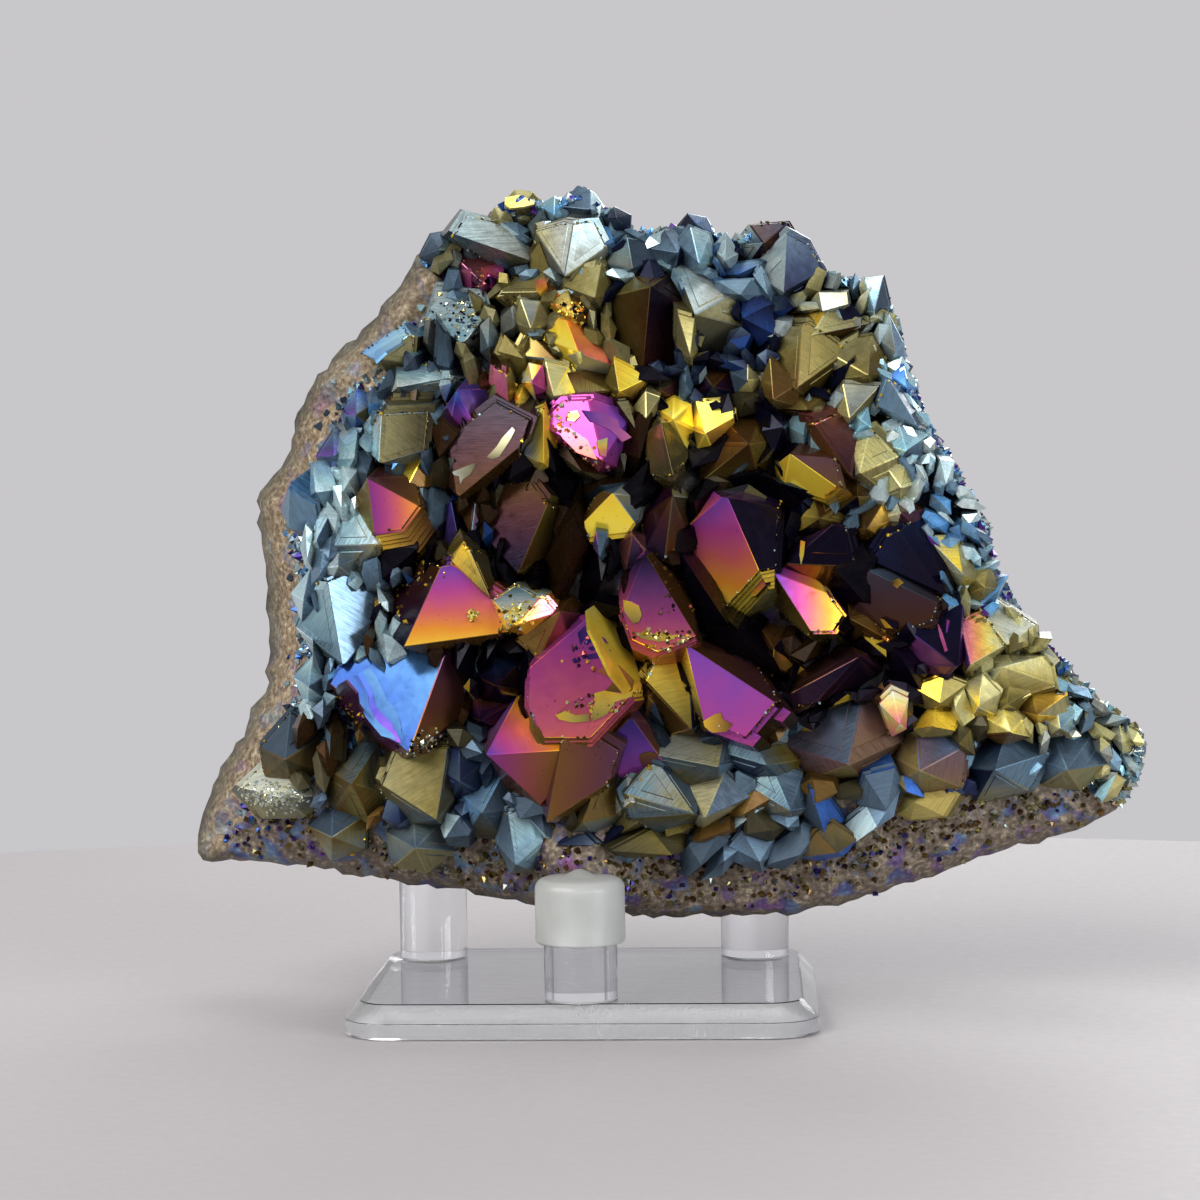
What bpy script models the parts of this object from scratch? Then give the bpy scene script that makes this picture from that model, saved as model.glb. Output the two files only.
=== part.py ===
"""Aura quartz cluster resting on a clear three-post display stand.

Metres, +Z up. The crystals face -Y, +X is to the right of someone facing them,
and the origin is the middle of the underside of the stand's base plate.
Sizes below are millimetres until MM turns them into metres.
"""
import math

import bmesh
import bpy
import numpy as np
from mathutils import Vector, noise
from mathutils.geometry import delaunay_2d_cdt

MM = 0.001
GAP = 0.3                       # clearance between pieces that touch

# ---- stand: clear plate, three half-inch rods, soft caps -------------------
PLATE_WIDTH = 82.5              # along X
PLATE_DEPTH = 63.5              # along Y
PLATE_THICK = 5.7
PLATE_CORNER = 8.5              # radius in plan
PLATE_BEVEL = 2.9               # 45 degree bevel round the top
PLATE_BREAK = 0.4               # broken lower edge
CORNER_STEPS = 8                # faces round a plate corner
ROD_DIAMETER = 12.7
ROD_BREAK = 0.5                 # broken upper edge
TURN_STEPS = 24                 # faces round a rod or cap
CAP_DIAMETER = 15.6
CAP_HEIGHT = 11.2
CAP_TOP_WALL = 1.8
CAP_ROUND = 1.5                 # rounding of the cap's outer edges
CAP_LIP = 0.7                   # bevel round the cap's open rim
CAP_DOME = 0.35                 # rise of the cap's top before the nub
CAP_NUB = 1.4                   # height of the moulding nub on the cap
NUB_FOOT = 2.6                  # radius of the nub where it starts
NUB_TOP = 0.9                   # radius of its flat top
FRONT_ROD = (0.0, -23.3)        # X, Y
REAR_ROD = (30.2, 20.5)         # X (mirrored), Y
FRONT_CAP_TOP = 26.7            # Z
REAR_CAP_TOP = 39.0             # Z

# ---- cluster ---------------------------------------------------------------
# Edge of the whole piece as (X, Z, Y): where the crystal side meets the rind.
EDGE = [
    (-11, 145, -8), (-5, 144, -8), (0, 145, -8), (5, 143, -8), (10, 139, -8), (16, 139, -8),
    (22, 140, -8), (26, 137, -8), (34, 138, -8), (39, 137, -8), (43, 131, -7), (52, 129, -6),
    (56, 124, -5), (58, 115, -5), (62, 104, -5), (68, 94, -4), (72, 86, -4), (74, 77, -4),
    (78, 70, -5), (85, 62, -6), (93, 54, -6), (99, 49, -6), (99, 43, -4), (95, 35, -1),
    (88, 31, 0), (76, 28, 0), (67, 25, -1), (57, 22, -2), (47, 19, -3), (36, 17, -4),
    (26, 17, -5), (14, 17, -5), (3, 18, -5), (-9, 19, -5), (-20, 21, -4), (-34, 23, -2),
    (-46, 25, 0), (-60, 26, 3), (-71, 26, 5), (-73, 29, 7), (-70, 38, 9), (-66, 46, 9),
    (-61, 55, 10), (-59, 64, 12), (-59, 74, 12), (-60, 84, 12), (-61, 92, 11), (-55, 100, 9),
    (-52, 108, 6), (-48, 115, 4), (-42, 120, 1), (-36, 125, -2), (-31, 132, -3), (-25, 138, -6),
    (-17, 140, -7),
]
ROCK_SPACING = 9.0              # facet size of the rock
BED_DEPTH = 9.0                 # rock surface behind the crystal points
BACK_REACH = 26.0               # Y of the rind's furthest bulge
BACK_RUN = 56.0                 # distance from the edge to that bulge
SIDE_RUN = {"left": 17.0, "bottom": 11.0, "other": 5.0}
RIM_THICK = {"left": 5.0, "bottom": 4.0, "other": 2.5}    # half the blunt edge
RIM_BLUNT = 4.0                 # width over which that thickness is reached
RIM_INSET = 3.0                 # first row of facets inside the edge
ROCK_JITTER = 1.4               # unevenness of the rock's facets
LEDGE_FADE = 5.0                # the relief dies out this close to the edge
LUMP_FADE = 8.0
FRONT_REST = (0.0, 28.0, 9.2, 7.7)    # knob over the front cap: X, Z, how far forward, spread
LEDGES = ((2.2, 7.0, 3.1), (1.2, 3.1, 8.7))       # front relief: height, size, seed
LUMPS = ((3.2, 17.0, 5.5), (1.6, 7.0, 1.5))       # rind relief: height, size, seed


def face_depth(x, z):
    """Y of the bulging surface that the crystal points reach."""
    above = max(z - 75.0, 0.0)
    below = max(75.0 - z, 0.0)
    return -28.0 + 14.0 * ((x - 10.0) / 80.0) ** 2 + 18.0 * (above / 70.0) ** 2 + 7.0 * (below / 50.0) ** 2


# Each crystal is (name, tip, ring, out, flats). Tip and ring corners are (X, Z); the ring
# is the girdle where the point meets the prism. "out" moves the crystal forward of the
# bulging surface. "flats" are runs of ring corners that share one face with the tip.
HEART = [
    ("sky blue point", (-29, 48.8), [(-40.5, 62.5), (-31.2, 66.5), (-22.8, 65.2), (-17.8, 57),
     (-22.5, 47.5), (-33, 45.5), (-45.5, 56.5)], 3, [(0, 2), (5, 7)]),
    ("pink blade", (-29.7, 67.2), [(-35, 71), (-32.5, 80), (-21, 80.5), (-13.5, 74), (-14.5, 69),
     (-24, 64.5)], 2, [(0, 2), (2, 4)]),
    ("purple amber point", (-35.5, 96.2), [(-39, 91), (-34.7, 87), (-30.3, 88.2), (-27, 91.5),
     (-28.5, 95.8), (-34, 98)], 2, [(1, 3)]),
    ("silver wedge", (-34, 84.7), [(-38.5, 91.5), (-33, 91), (-31.5, 86), (-34.5, 80.5), (-39, 79.5),
     (-42.5, 84.5)], 1, []),
    ("striated block", (-40.5, 64), [(-49, 70), (-44.5, 77.5), (-36, 79), (-34.2, 71), (-36, 65),
     (-45, 61.5)], 0, [(1, 3)]),
    ("smoky chipped point", (-19.8, 93), [(-24, 96.5), (-22, 102), (-14.5, 106.5), (-8.5, 104.5),
     (-10, 99), (-15, 93), (-18.5, 90.8)], 1.5, [(1, 4)]),
    ("bronze roof", (-29.3, 94), [(-31, 98), (-26.5, 99.5), (-23.8, 95), (-26.5, 92.6),
     (-29.8, 92.8)], -2, []),
    ("blue sliver", (-21.5, 92), [(-23.5, 90), (-23, 84), (-20, 83.5), (-19.5, 91), (-21.3, 94)], -4,
     []),
    ("dark heart point", (-10, 79.8), [(-16.5, 86.5), (-14.5, 92.5), (-8, 93.5), (-3.5, 90),
     (-2.5, 84), (-6, 78.5), (-11.5, 77.8)], -2, [(0, 3)]),
    ("dark heart neighbour", (-18, 86), [(-20.5, 91.5), (-17, 93.5), (-14, 91), (-15, 85.5),
     (-19, 84)], -4, []),
    ("olive prism", (-14.5, 75.5), [(-20.5, 81.5), (-18.5, 83.8), (-15, 81.5), (-12.5, 76),
     (-14.5, 73.5), (-18, 76.5)], 0, [(1, 3)]),
    ("gold grain", (-18, 71.5), [(-20.3, 76.5), (-17.5, 77.2), (-14.8, 74), (-15.2, 70.5),
     (-18.5, 69)], -0.5, []),
    ("gold sparkle", (-10, 70.8), [(-14, 74.5), (-10.3, 76.5), (-5.5, 74.8), (-3.8, 72.6), (-8.5, 69),
     (-12.5, 70)], 2, [(0, 2)]),
    ("russet roof", (-2.5, 73), [(-9.5, 68.5), (-5, 74.3), (-1, 75), (2, 71.5), (-1, 67), (-6, 65.5)],
     -1, []),
    ("great magenta point", (2.2, 71.3), [(-7, 64.5), (-7, 57.5), (-4.5, 54), (2.5, 53.5), (10, 58.8),
     (10.6, 65), (5.5, 74.3), (-1, 71.5)], 3, [(0, 4), (4, 6)]),
    ("violet gold wedge", (-15.5, 48.5), [(-17.5, 53), (-10.3, 57), (-4, 52), (-2.2, 49.2), (-3, 45),
     (-6.8, 40), (-12, 41.5)], 2, [(1, 3), (3, 5)]),
    ("bronze lozenge", (-5.3, 36.8), [(-7, 40.5), (-2.8, 50), (0.5, 51.5), (5.8, 47.5), (4.5, 42.5),
     (0, 37.5), (-3, 35.5)], 2.5, [(1, 4)]),
    ("violet shield", (9.5, 54.4), [(3, 53), (3.2, 50.5), (7.5, 45), (11, 45), (14.8, 47.5),
     (13.5, 52.5), (9.5, 57.8), (4.5, 56)], 1, [(1, 4)]),
    ("violet triangle", (18.9, 67.3), [(15.8, 65), (18.5, 58), (22.3, 54.3), (28, 53), (33.5, 57.8),
     (30, 63), (21.5, 68.8)], 2.5, [(0, 2), (2, 4)]),
    ("great purple point", (25.8, 92), [(18.8, 87), (20.2, 81), (23.8, 76.2), (33.2, 75.4),
     (33.8, 80), (38, 82), (38.5, 89), (33, 93), (22, 93.8)], 3, [(0, 4), (4, 6)]),
    ("magenta dart", (34.2, 79), [(33.5, 74), (39.8, 69), (43.2, 70), (44.5, 72.5), (42.3, 76.2),
     (38, 80.8)], 1, [(1, 4)]),
    ("plum point", (12.3, 82.5), [(8, 80), (8, 74), (10, 69.5), (14, 67.8), (20.3, 69), (19, 76),
     (15, 82.5), (11, 84.5)], 0.5, [(1, 4), (4, 6)]),
    ("yellow triangle", (6.8, 93), [(1.8, 88.5), (3, 86.3), (8.8, 86.9), (10.6, 88.8), (11.3, 92),
     (9, 94.8), (4.5, 93)], 1, [(0, 3)]),
    ("rainbow chip", (4.4, 82), [(3.2, 84), (3.8, 86.4), (5.7, 86), (5.6, 82.6), (4.6, 80.8)], -2,
     []),
    ("dark rose chip", (10, 86), [(7.3, 84), (9, 87.3), (13.5, 85), (13, 81.5), (9, 80.8)], -2, []),
    ("umber point", (17, 92.5), [(12, 88), (13, 94), (16.5, 96.5), (20.3, 91.5), (19, 85.5),
     (15.5, 82.5), (12.5, 84)], -1, [(0, 2)]),
    ("amber grey point", (15.2, 105), [(12.3, 103), (13.3, 97.5), (17, 96), (19.6, 101), (17, 105.2),
     (14, 106.3)], 1.5, [(0, 2), (2, 4)]),
    ("lemon dart", (17.2, 105.5), [(15, 104.5), (19.2, 101), (20.4, 104), (20, 107.8), (17.3, 108.8),
     (14.6, 107.4)], 1, []),
    ("lemon blade", (22.7, 103), [(20, 104.2), (21, 108), (26.8, 108.2), (27.2, 104.8), (24, 100),
     (20.8, 99.5)], 1, [(1, 3)]),
    ("bronze dome", (30, 101), [(22.8, 101), (25, 105.8), (32, 106.5), (35, 101.5), (32, 95.3),
     (26, 93.2), (22.3, 96.3)], 0.5, [(4, 6)]),
    ("bright gold point", (37, 99.3), [(35, 97), (36.3, 94.3), (41.8, 92.6), (45, 94), (44, 98.5),
     (40, 101.5)], 2, [(1, 3)]),
    ("red brown point", (47.6, 95.2), [(41, 103.8), (46, 104.8), (48.9, 101), (49.2, 94.2),
     (45, 92.6), (41.8, 97.5)], 0.5, [(0, 2)]),
    ("bright magenta point", (5.2, 98.6), [(-4.8, 104.8), (-1, 108), (3.5, 108.5), (8.5, 106.7),
     (10.6, 103), (8.2, 97), (3.5, 95.8)], 2.5, [(0, 2), (3, 5)]),
    ("blue gold slab", (-5, 98.3), [(-9.8, 100.5), (-7.8, 105.5), (-4.8, 107.2), (-3.3, 102),
     (-3.6, 97), (-7, 96.6)], 1, [(0, 2)]),
    ("gold nib", (-9.3, 109.5), [(-11.8, 105.2), (-10.6, 111), (-8.6, 112), (-7, 107.5),
     (-8.5, 104.3)], 1, []),
    ("rose strip", (-11, 105), [(-15, 105.8), (-13.4, 113.3), (-10.8, 113.5), (-9, 108), (-10, 104)],
     0, [(0, 2)]),
    ("peach nib", (-7, 112.2), [(-8.8, 112.3), (-7.6, 115.3), (-5.4, 114.8), (-4.8, 111),
     (-6.5, 109.3)], 2, []),
    ("blue violet dart", (-20, 111), [(-23, 107), (-21.5, 104.8), (-18.3, 104.8), (-14.2, 107),
     (-14.8, 111.5), (-18, 114)], 1, [(2, 4)]),
    ("orange pink point", (1.2, 117.2), [(-4.6, 119.8), (-2.2, 122.8), (2.3, 121.8), (5.5, 118.3),
     (7.3, 114.2), (0, 113.6)], 3, [(0, 1), (1, 4)]),
    ("dark striped block", (6.3, 110.5), [(-0.5, 113.5), (4, 114.3), (7.5, 112.3), (7.3, 108.5),
     (3, 107.6), (0, 110)], -1, [(0, 2)]),
    ("yellow dart", (8, 110.3), [(7.2, 115.5), (12.5, 112.6), (10.2, 109.2), (7, 108.3), (5.8, 112)],
     1.5, []),
    ("straw chip", (12.5, 105.8), [(10.4, 107.5), (12.5, 110), (14.7, 109.2), (14.2, 106.4),
     (12.5, 104.5)], 0, []),
    ("straw block", (-3.3, 109.8), [(-5.7, 111), (-4.6, 115.3), (-1, 114.3), (1.3, 110.5),
     (-1.3, 108.7), (-4.5, 108.5)], 0.5, []),
    ("olive shadow", (-3, 116), [(-10, 117), (-8, 121), (-4.3, 119.8), (0.3, 115), (-4, 113.6),
     (-9, 114.3)], -2, []),
    ("dark gate", (24, 111), [(19.3, 110), (21.3, 115), (27.5, 114.5), (30.3, 109.5), (26, 107.2),
     (21, 107)], -2, []),
    ("dark olive gate", (15, 110.5), [(10.8, 110.5), (14.3, 114.3), (19.2, 113), (19.2, 108.3),
     (14.5, 107.5)], -2, []),
    ("khaki chip", (30, 112), [(27.2, 113.5), (30, 115.8), (32.2, 112.2), (31.2, 109.2), (28, 110.2)],
     0, []),
    ("gold blue fan", (19.8, 52.5), [(12, 60), (15.5, 64.2), (19.6, 61), (22.6, 54), (20, 50.3),
     (14.5, 51)], -1, [(0, 2)]),
    ("brown chip", (12.3, 58), [(10.2, 59), (12.5, 62.3), (15.2, 59.8), (15.2, 54.3), (11.5, 53.2)],
     -2, []),
    ("teal shadow", (-14, 60), [(-19.7, 62), (-15, 66.8), (-9, 64.8), (-8.2, 58.3), (-12, 55.2),
     (-18, 55.8)], -3, []),
    ("shadow under blades", (-17, 54), [(-21.5, 55), (-18, 58), (-11.5, 56.5), (-12, 51.5),
     (-18, 50.5)], -3, []),
    ("great dark roof", (48.5, 64.5), [(34, 55), (37.5, 64), (46, 68), (54.5, 65), (55.5, 58),
     (47, 56.8), (38, 52.2)], -1.5, [(0, 2), (4, 6)]),
    ("dark gold roof", (34, 66), [(27.3, 66), (31, 70.5), (37, 69), (38.8, 62.3), (33.3, 58.7)], -2,
     []),
    ("bronze shadow", (47, 71), [(44.3, 72.5), (47, 75.5), (52.5, 71.5), (55, 66.3), (49, 65.6),
     (44, 67.8)], -2, []),
    ("plum shadow", (36, 80.5), [(33.6, 80.5), (39, 87), (45.8, 86.3), (47.3, 80), (43.5, 76.2),
     (37, 77.3)], -2, [(0, 2)]),
    ("olive band", (42, 88.3), [(37.3, 89), (41, 93.3), (47.3, 91.3), (48, 86.8), (43, 84.8),
     (38.3, 85.8)], -1, []),
    ("brown wedge", (50, 86.3), [(46.3, 86), (49, 91), (54, 92), (56.3, 88), (54.2, 83.8),
     (48.5, 82.8)], -1, []),
    ("dark olive wedge", (48.5, 91.8), [(43.8, 92), (48.6, 95.9), (52.3, 91.6), (49, 88.2),
     (44.3, 88.5)], 0, []),
    ("grey violet point", (50.5, 79), [(46.8, 76), (47.5, 71), (54, 69.3), (60, 71.3), (61.7, 74),
     (56.8, 78.8), (50.3, 81.8)], 1, [(1, 4)]),
    ("black point", (63, 75), [(54.5, 84.8), (60, 87), (64.8, 81.8), (67.3, 75.5), (62.5, 72.5),
     (57, 75.2), (52, 81)], 1, [(0, 2), (4, 6)]),
    ("navy point", (65.5, 62.5), [(57, 67.5), (59.3, 72.3), (66.5, 73.5), (68, 66), (67.2, 60.8),
     (61, 58.8), (57.3, 63.3)], 1.5, [(0, 2), (3, 5)]),
]

CROWN = [
    ("gold crust", (0.5, 123), [(-4, 126), (-1, 127.8), (3, 125.3), (3.5, 121.6), (-1, 120.8)], 1,
     []),
    ("orange plate", (3.8, 126.8), [(-1.5, 128.5), (0.3, 132), (5, 132.3), (6.7, 128), (5, 124.3),
     (1, 124.8)], 1.5, [(0, 2)]),
    ("olive gold block", (-5.5, 128), [(-12.7, 127.5), (-9, 131.6), (-3.5, 131.3), (-1.6, 128),
     (-5, 125.2), (-10, 125.2)], 1.5, [(0, 2)]),
    ("pale barrel", (-7.3, 121.5), [(-10.2, 123), (-9, 126.3), (-6, 126), (-4.3, 122.5), (-6, 120),
     (-9, 120.2)], 1, []),
    ("great pale point", (-1.5, 130.6), [(-7.3, 134.5), (-6, 138.5), (-1, 139.6), (3, 139.2),
     (5.2, 135.5), (4.7, 131.2)], 2.5, [(2, 4)]),
    ("grey ridge", (-8, 133.8), [(-20, 137.5), (-17.5, 140.8), (-11, 139.3), (-6.8, 137.3),
     (-6.6, 132.3), (-11, 131.3), (-15, 134)], 1, [(0, 2)]),
    ("honey knob", (-9.5, 143), [(-12.8, 144), (-10.5, 146.3), (-7.8, 145.9), (-6, 144), (-8, 141.8),
     (-11, 141.6)], 1, []),
    ("honey chip", (-13, 141), [(-15.7, 141), (-14, 143.3), (-12, 142.8), (-11, 140.5), (-13, 138.3)],
     1, []),
    ("steel point", (2.8, 142.6), [(-2.4, 143), (0.5, 146.8), (3.2, 145.5), (5.7, 142), (3, 139.6),
     (-0.5, 140.3)], 1, [(0, 2)]),
    ("ice chip", (-3.5, 141.6), [(-6.2, 143.5), (-3.5, 144.9), (-1.8, 142.6), (-1.3, 139.8),
     (-4.5, 139.2)], 1, []),
    ("slate chip", (7.5, 140.8), [(5, 141), (7, 142.9), (9.7, 141.5), (9.5, 138.6), (6.5, 138)], 0.5,
     []),
    ("grey point", (10.3, 131.8), [(6, 133), (9, 137), (12, 136.4), (14, 133.5), (11.5, 130.2),
     (7, 130)], 1, [(1, 3)]),
    ("slate point", (18.3, 134.5), [(13.6, 135.5), (16, 138.4), (19.5, 138), (20.2, 133.5),
     (17, 130.7), (14.5, 132.2)], 0.5, []),
    ("ice point", (21.8, 132.4), [(18.4, 136), (20.5, 138.4), (23.3, 137.3), (24.5, 133),
     (22.3, 130.5), (19.6, 131.8)], 1.5, []),
    ("blue crest", (21.5, 139.5), [(17.8, 138.5), (20, 141.5), (23, 140.8), (24.7, 137.5),
     (21.5, 136.2)], 0, []),
    ("ice bead", (26.3, 133), [(24.3, 135.5), (26.5, 137.8), (28.5, 134.5), (27.6, 131.5),
     (25, 131.8)], 0, []),
    ("great olive point", (13.6, 128.3), [(5, 127), (6.5, 118.5), (11, 113.5), (18.5, 114), (21, 124),
     (17.5, 131.5), (8, 131.5)], 2.5, [(0, 2), (2, 4)]),
    ("pale green point", (21, 123.5), [(18, 132), (22.5, 130.8), (28, 126.8), (29.2, 122),
     (25.5, 117.8), (21.3, 116), (19, 122)], 2, [(0, 2), (3, 5)]),
    ("straw strip", (20.2, 116.2), [(18, 118), (18.3, 123), (20.9, 122.2), (21.3, 117.5),
     (20.5, 114.5), (18.6, 115.2)], 2, []),
    ("navy crown point", (36.5, 127.3), [(31.3, 131.5), (37, 136.9), (40.7, 134.8), (42.8, 131),
     (39.5, 125.6), (35.3, 125.4)], 1, [(1, 3)]),
    ("dark crest", (33, 136), [(28.2, 136), (31, 139.3), (37, 139.6), (39.2, 136), (35, 133.2),
     (30, 132.2)], 0, []),
    ("magenta hollow point", (-16, 130), [(-21.5, 134), (-17, 136.8), (-12.3, 133.7), (-12, 129),
     (-16.5, 126.2), (-21.2, 129.3)], -1, [(0, 2)]),
    ("speckled slab", (-19.5, 119.7), [(-25.5, 122.5), (-23.8, 128.2), (-17, 127.8), (-15, 123),
     (-16, 118.7), (-21, 116.8)], 0.5, [(0, 3)]),
    ("steel rim point", (-24, 136), [(-27.5, 135), (-25.5, 138.6), (-21.5, 139.2), (-21, 136),
     (-24.5, 133.2)], 0, []),
    ("olive grey point", (38.4, 110.4), [(33, 114.8), (34.6, 120), (40.5, 120.8), (45.6, 117.2),
     (46, 112.5), (41, 108.2), (34.5, 107.7)], 2, [(0, 2), (3, 5)]),
    ("gold foot", (34.3, 108.6), [(31.8, 110), (34, 115.2), (38.4, 111.3), (38.3, 107.8),
     (34.5, 106.7)], 2, []),
    ("honey octagon", (50.6, 112.6), [(45.3, 115.5), (47.8, 118.3), (51.3, 118.9), (54.5, 113.5),
     (52, 109.7), (48.5, 109.6), (45.3, 112.3)], 2.5, [(0, 2)]),
    ("pale gold roof", (41, 119.6), [(35.8, 121.3), (39, 124.3), (45, 124.4), (50.3, 121.7),
     (46, 119), (40.5, 117.6)], 1, [(0, 2)]),
    ("cream foot", (47.3, 105.3), [(44.2, 107), (46.5, 110.8), (52, 110.3), (50.3, 105.8),
     (47, 103.2)], 1.5, []),
    ("brown gold step", (40, 106.8), [(33.2, 107.5), (38, 109.9), (43.8, 110), (44.3, 106),
     (38, 104.7)], 0, []),
]

LEFT_FLANK = [
    ("white sliver", (-39.3, 95.5), [(-42, 92), (-41, 98.8), (-38, 98), (-38, 92.8)], 0, []),
    ("silver striped prism", (-33.5, 98.8), [(-36.5, 101.5), (-33.5, 107), (-26.5, 106), (-26, 100.3),
     (-29.5, 97.7)], 2, [(1, 3)]),
    ("sky strip", (-34.5, 116.8), [(-37.3, 118), (-31.5, 121.8), (-28.2, 120), (-28.8, 116.3),
     (-33, 114.7)], 0.5, [(0, 2)]),
    ("silver bar", (-30.5, 111.8), [(-33, 110.5), (-31.3, 114.8), (-27.5, 115.6), (-21.8, 113),
     (-24.5, 110.3), (-29.5, 108.8)], 1, [(1, 3)]),
    ("blue scale", (-45, 85.5), [(-47.5, 84), (-45.5, 90), (-42, 92), (-42, 86), (-44.5, 81)], 0, []),
    ("blue grain", (-47.5, 75), [(-50, 76), (-47, 79.5), (-44.3, 77.5), (-45, 72.5), (-48.5, 71.5)],
     0, []),
    ("ice grain", (-47, 60), [(-50, 61), (-47, 64), (-43.5, 62), (-44, 57), (-48, 56)], 0, []),
    ("blue shard", (-38, 107), [(-41, 107), (-38.5, 111), (-34.8, 109.5), (-35, 104.5), (-39, 103)],
     0, []),
    ("violet grain", (-42, 100), [(-45, 100), (-42.5, 103.8), (-39.3, 102.5), (-40, 98),
     (-43.5, 96.8)], 0, []),
    ("silver tuft", (-41, 81), [(-44.5, 80.5), (-41.5, 84), (-37.5, 82.5), (-38.5, 78.3),
     (-43, 77.5)], 0.5, []),
]

RIGHT_RIM = [
    ("pale olive point", (48.8, 95.8), [(47.6, 102), (47, 95.3), (51.5, 90.8), (54.8, 93.5),
     (55.2, 98.5), (51, 102.8)], 2, [(1, 3)]),
    ("khaki point", (56, 93.3), [(52, 92), (53, 97.8), (57, 98.3), (58.5, 94), (56, 90.2)], 1, []),
    ("cyan bead", (49.2, 105), [(47.8, 106.5), (50.5, 107), (51, 103.8), (48.6, 102.8)], 1, []),
    ("ice bar", (52, 123.8), [(50, 124), (50.7, 129), (53.5, 129.3), (54.6, 125), (52.5, 121.7)], 0.5,
     []),
    ("ice spur", (55.5, 116.7), [(53, 119), (54.7, 122.7), (57, 118.2), (57.3, 115), (54.8, 114.5)],
     0.5, []),
    ("blue fin", (59, 103.8), [(52.6, 107.3), (54, 111.3), (57, 109.8), (60.6, 105), (60.3, 102.3),
     (56.3, 104.2)], 1, [(1, 3)]),
    ("blue spur", (57.3, 110.4), [(54.8, 112.5), (57, 114.3), (59, 110.5), (57.6, 108.2),
     (55.3, 109.8)], 0, []),
    ("pale cyan plate", (57, 99.5), [(53, 101), (56, 104.3), (60.8, 102), (60.3, 98), (55.5, 96.7)],
     1, []),
    ("dark strip point", (56, 89), [(52.8, 88), (55, 92.3), (59.7, 89.2), (59.2, 85.8), (55.3, 85.2)],
     0, []),
    ("gold rim blade", (66.5, 78.3), [(61.3, 84), (65.3, 84), (69.3, 80.2), (70.7, 76), (66.5, 75.7),
     (63.2, 80)], 2, [(1, 3)]),
    ("olive rim point", (70.3, 76), [(67.3, 78.5), (71, 79.5), (72.8, 75.5), (70, 73.2),
     (67.4, 74.7)], 1, []),
    ("yellow rim point", (67.6, 62.8), [(66.3, 69.3), (70, 70.2), (73.3, 65.5), (70, 61.6), (67, 60)],
     2, [(0, 2)]),
    ("broad yellow point", (74, 66), [(69.2, 72.5), (73, 72.9), (79.2, 68.8), (79.6, 65.6),
     (74.5, 64), (70, 68.8)], 1, [(0, 2)]),
    ("cream arch", (73.3, 62.2), [(69.2, 60), (72, 62.8), (77.5, 64.7), (81.3, 62.7), (81.8, 58.8),
     (75, 56.6), (70.3, 56.2)], 1.5, [(1, 3)]),
    ("lemon foot", (69, 55.3), [(67, 58.8), (70, 60.4), (72.8, 57.5), (72.2, 53.8), (68.3, 53.4)],
     1.5, []),
    ("olive chip", (74, 55.5), [(71.3, 57), (75, 59.6), (78.3, 57.6), (76.2, 54.3), (72.3, 53.5)],
     0.5, []),
    ("brown gold slab", (79.5, 53.5), [(76.3, 54), (79, 57.4), (84.2, 56.4), (84.8, 52.8),
     (80, 51.2)], 1, []),
    ("yellow slab", (74.8, 50.7), [(70.8, 53), (73.5, 55.2), (77.2, 52.8), (78.3, 49.6), (74, 48.4),
     (71.2, 50.2)], 1.5, []),
    ("straw slab", (83.5, 51), [(80.3, 53), (83, 55.9), (86.8, 53.7), (85.8, 49.7), (81.8, 49.2)], 1,
     []),
]

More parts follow.
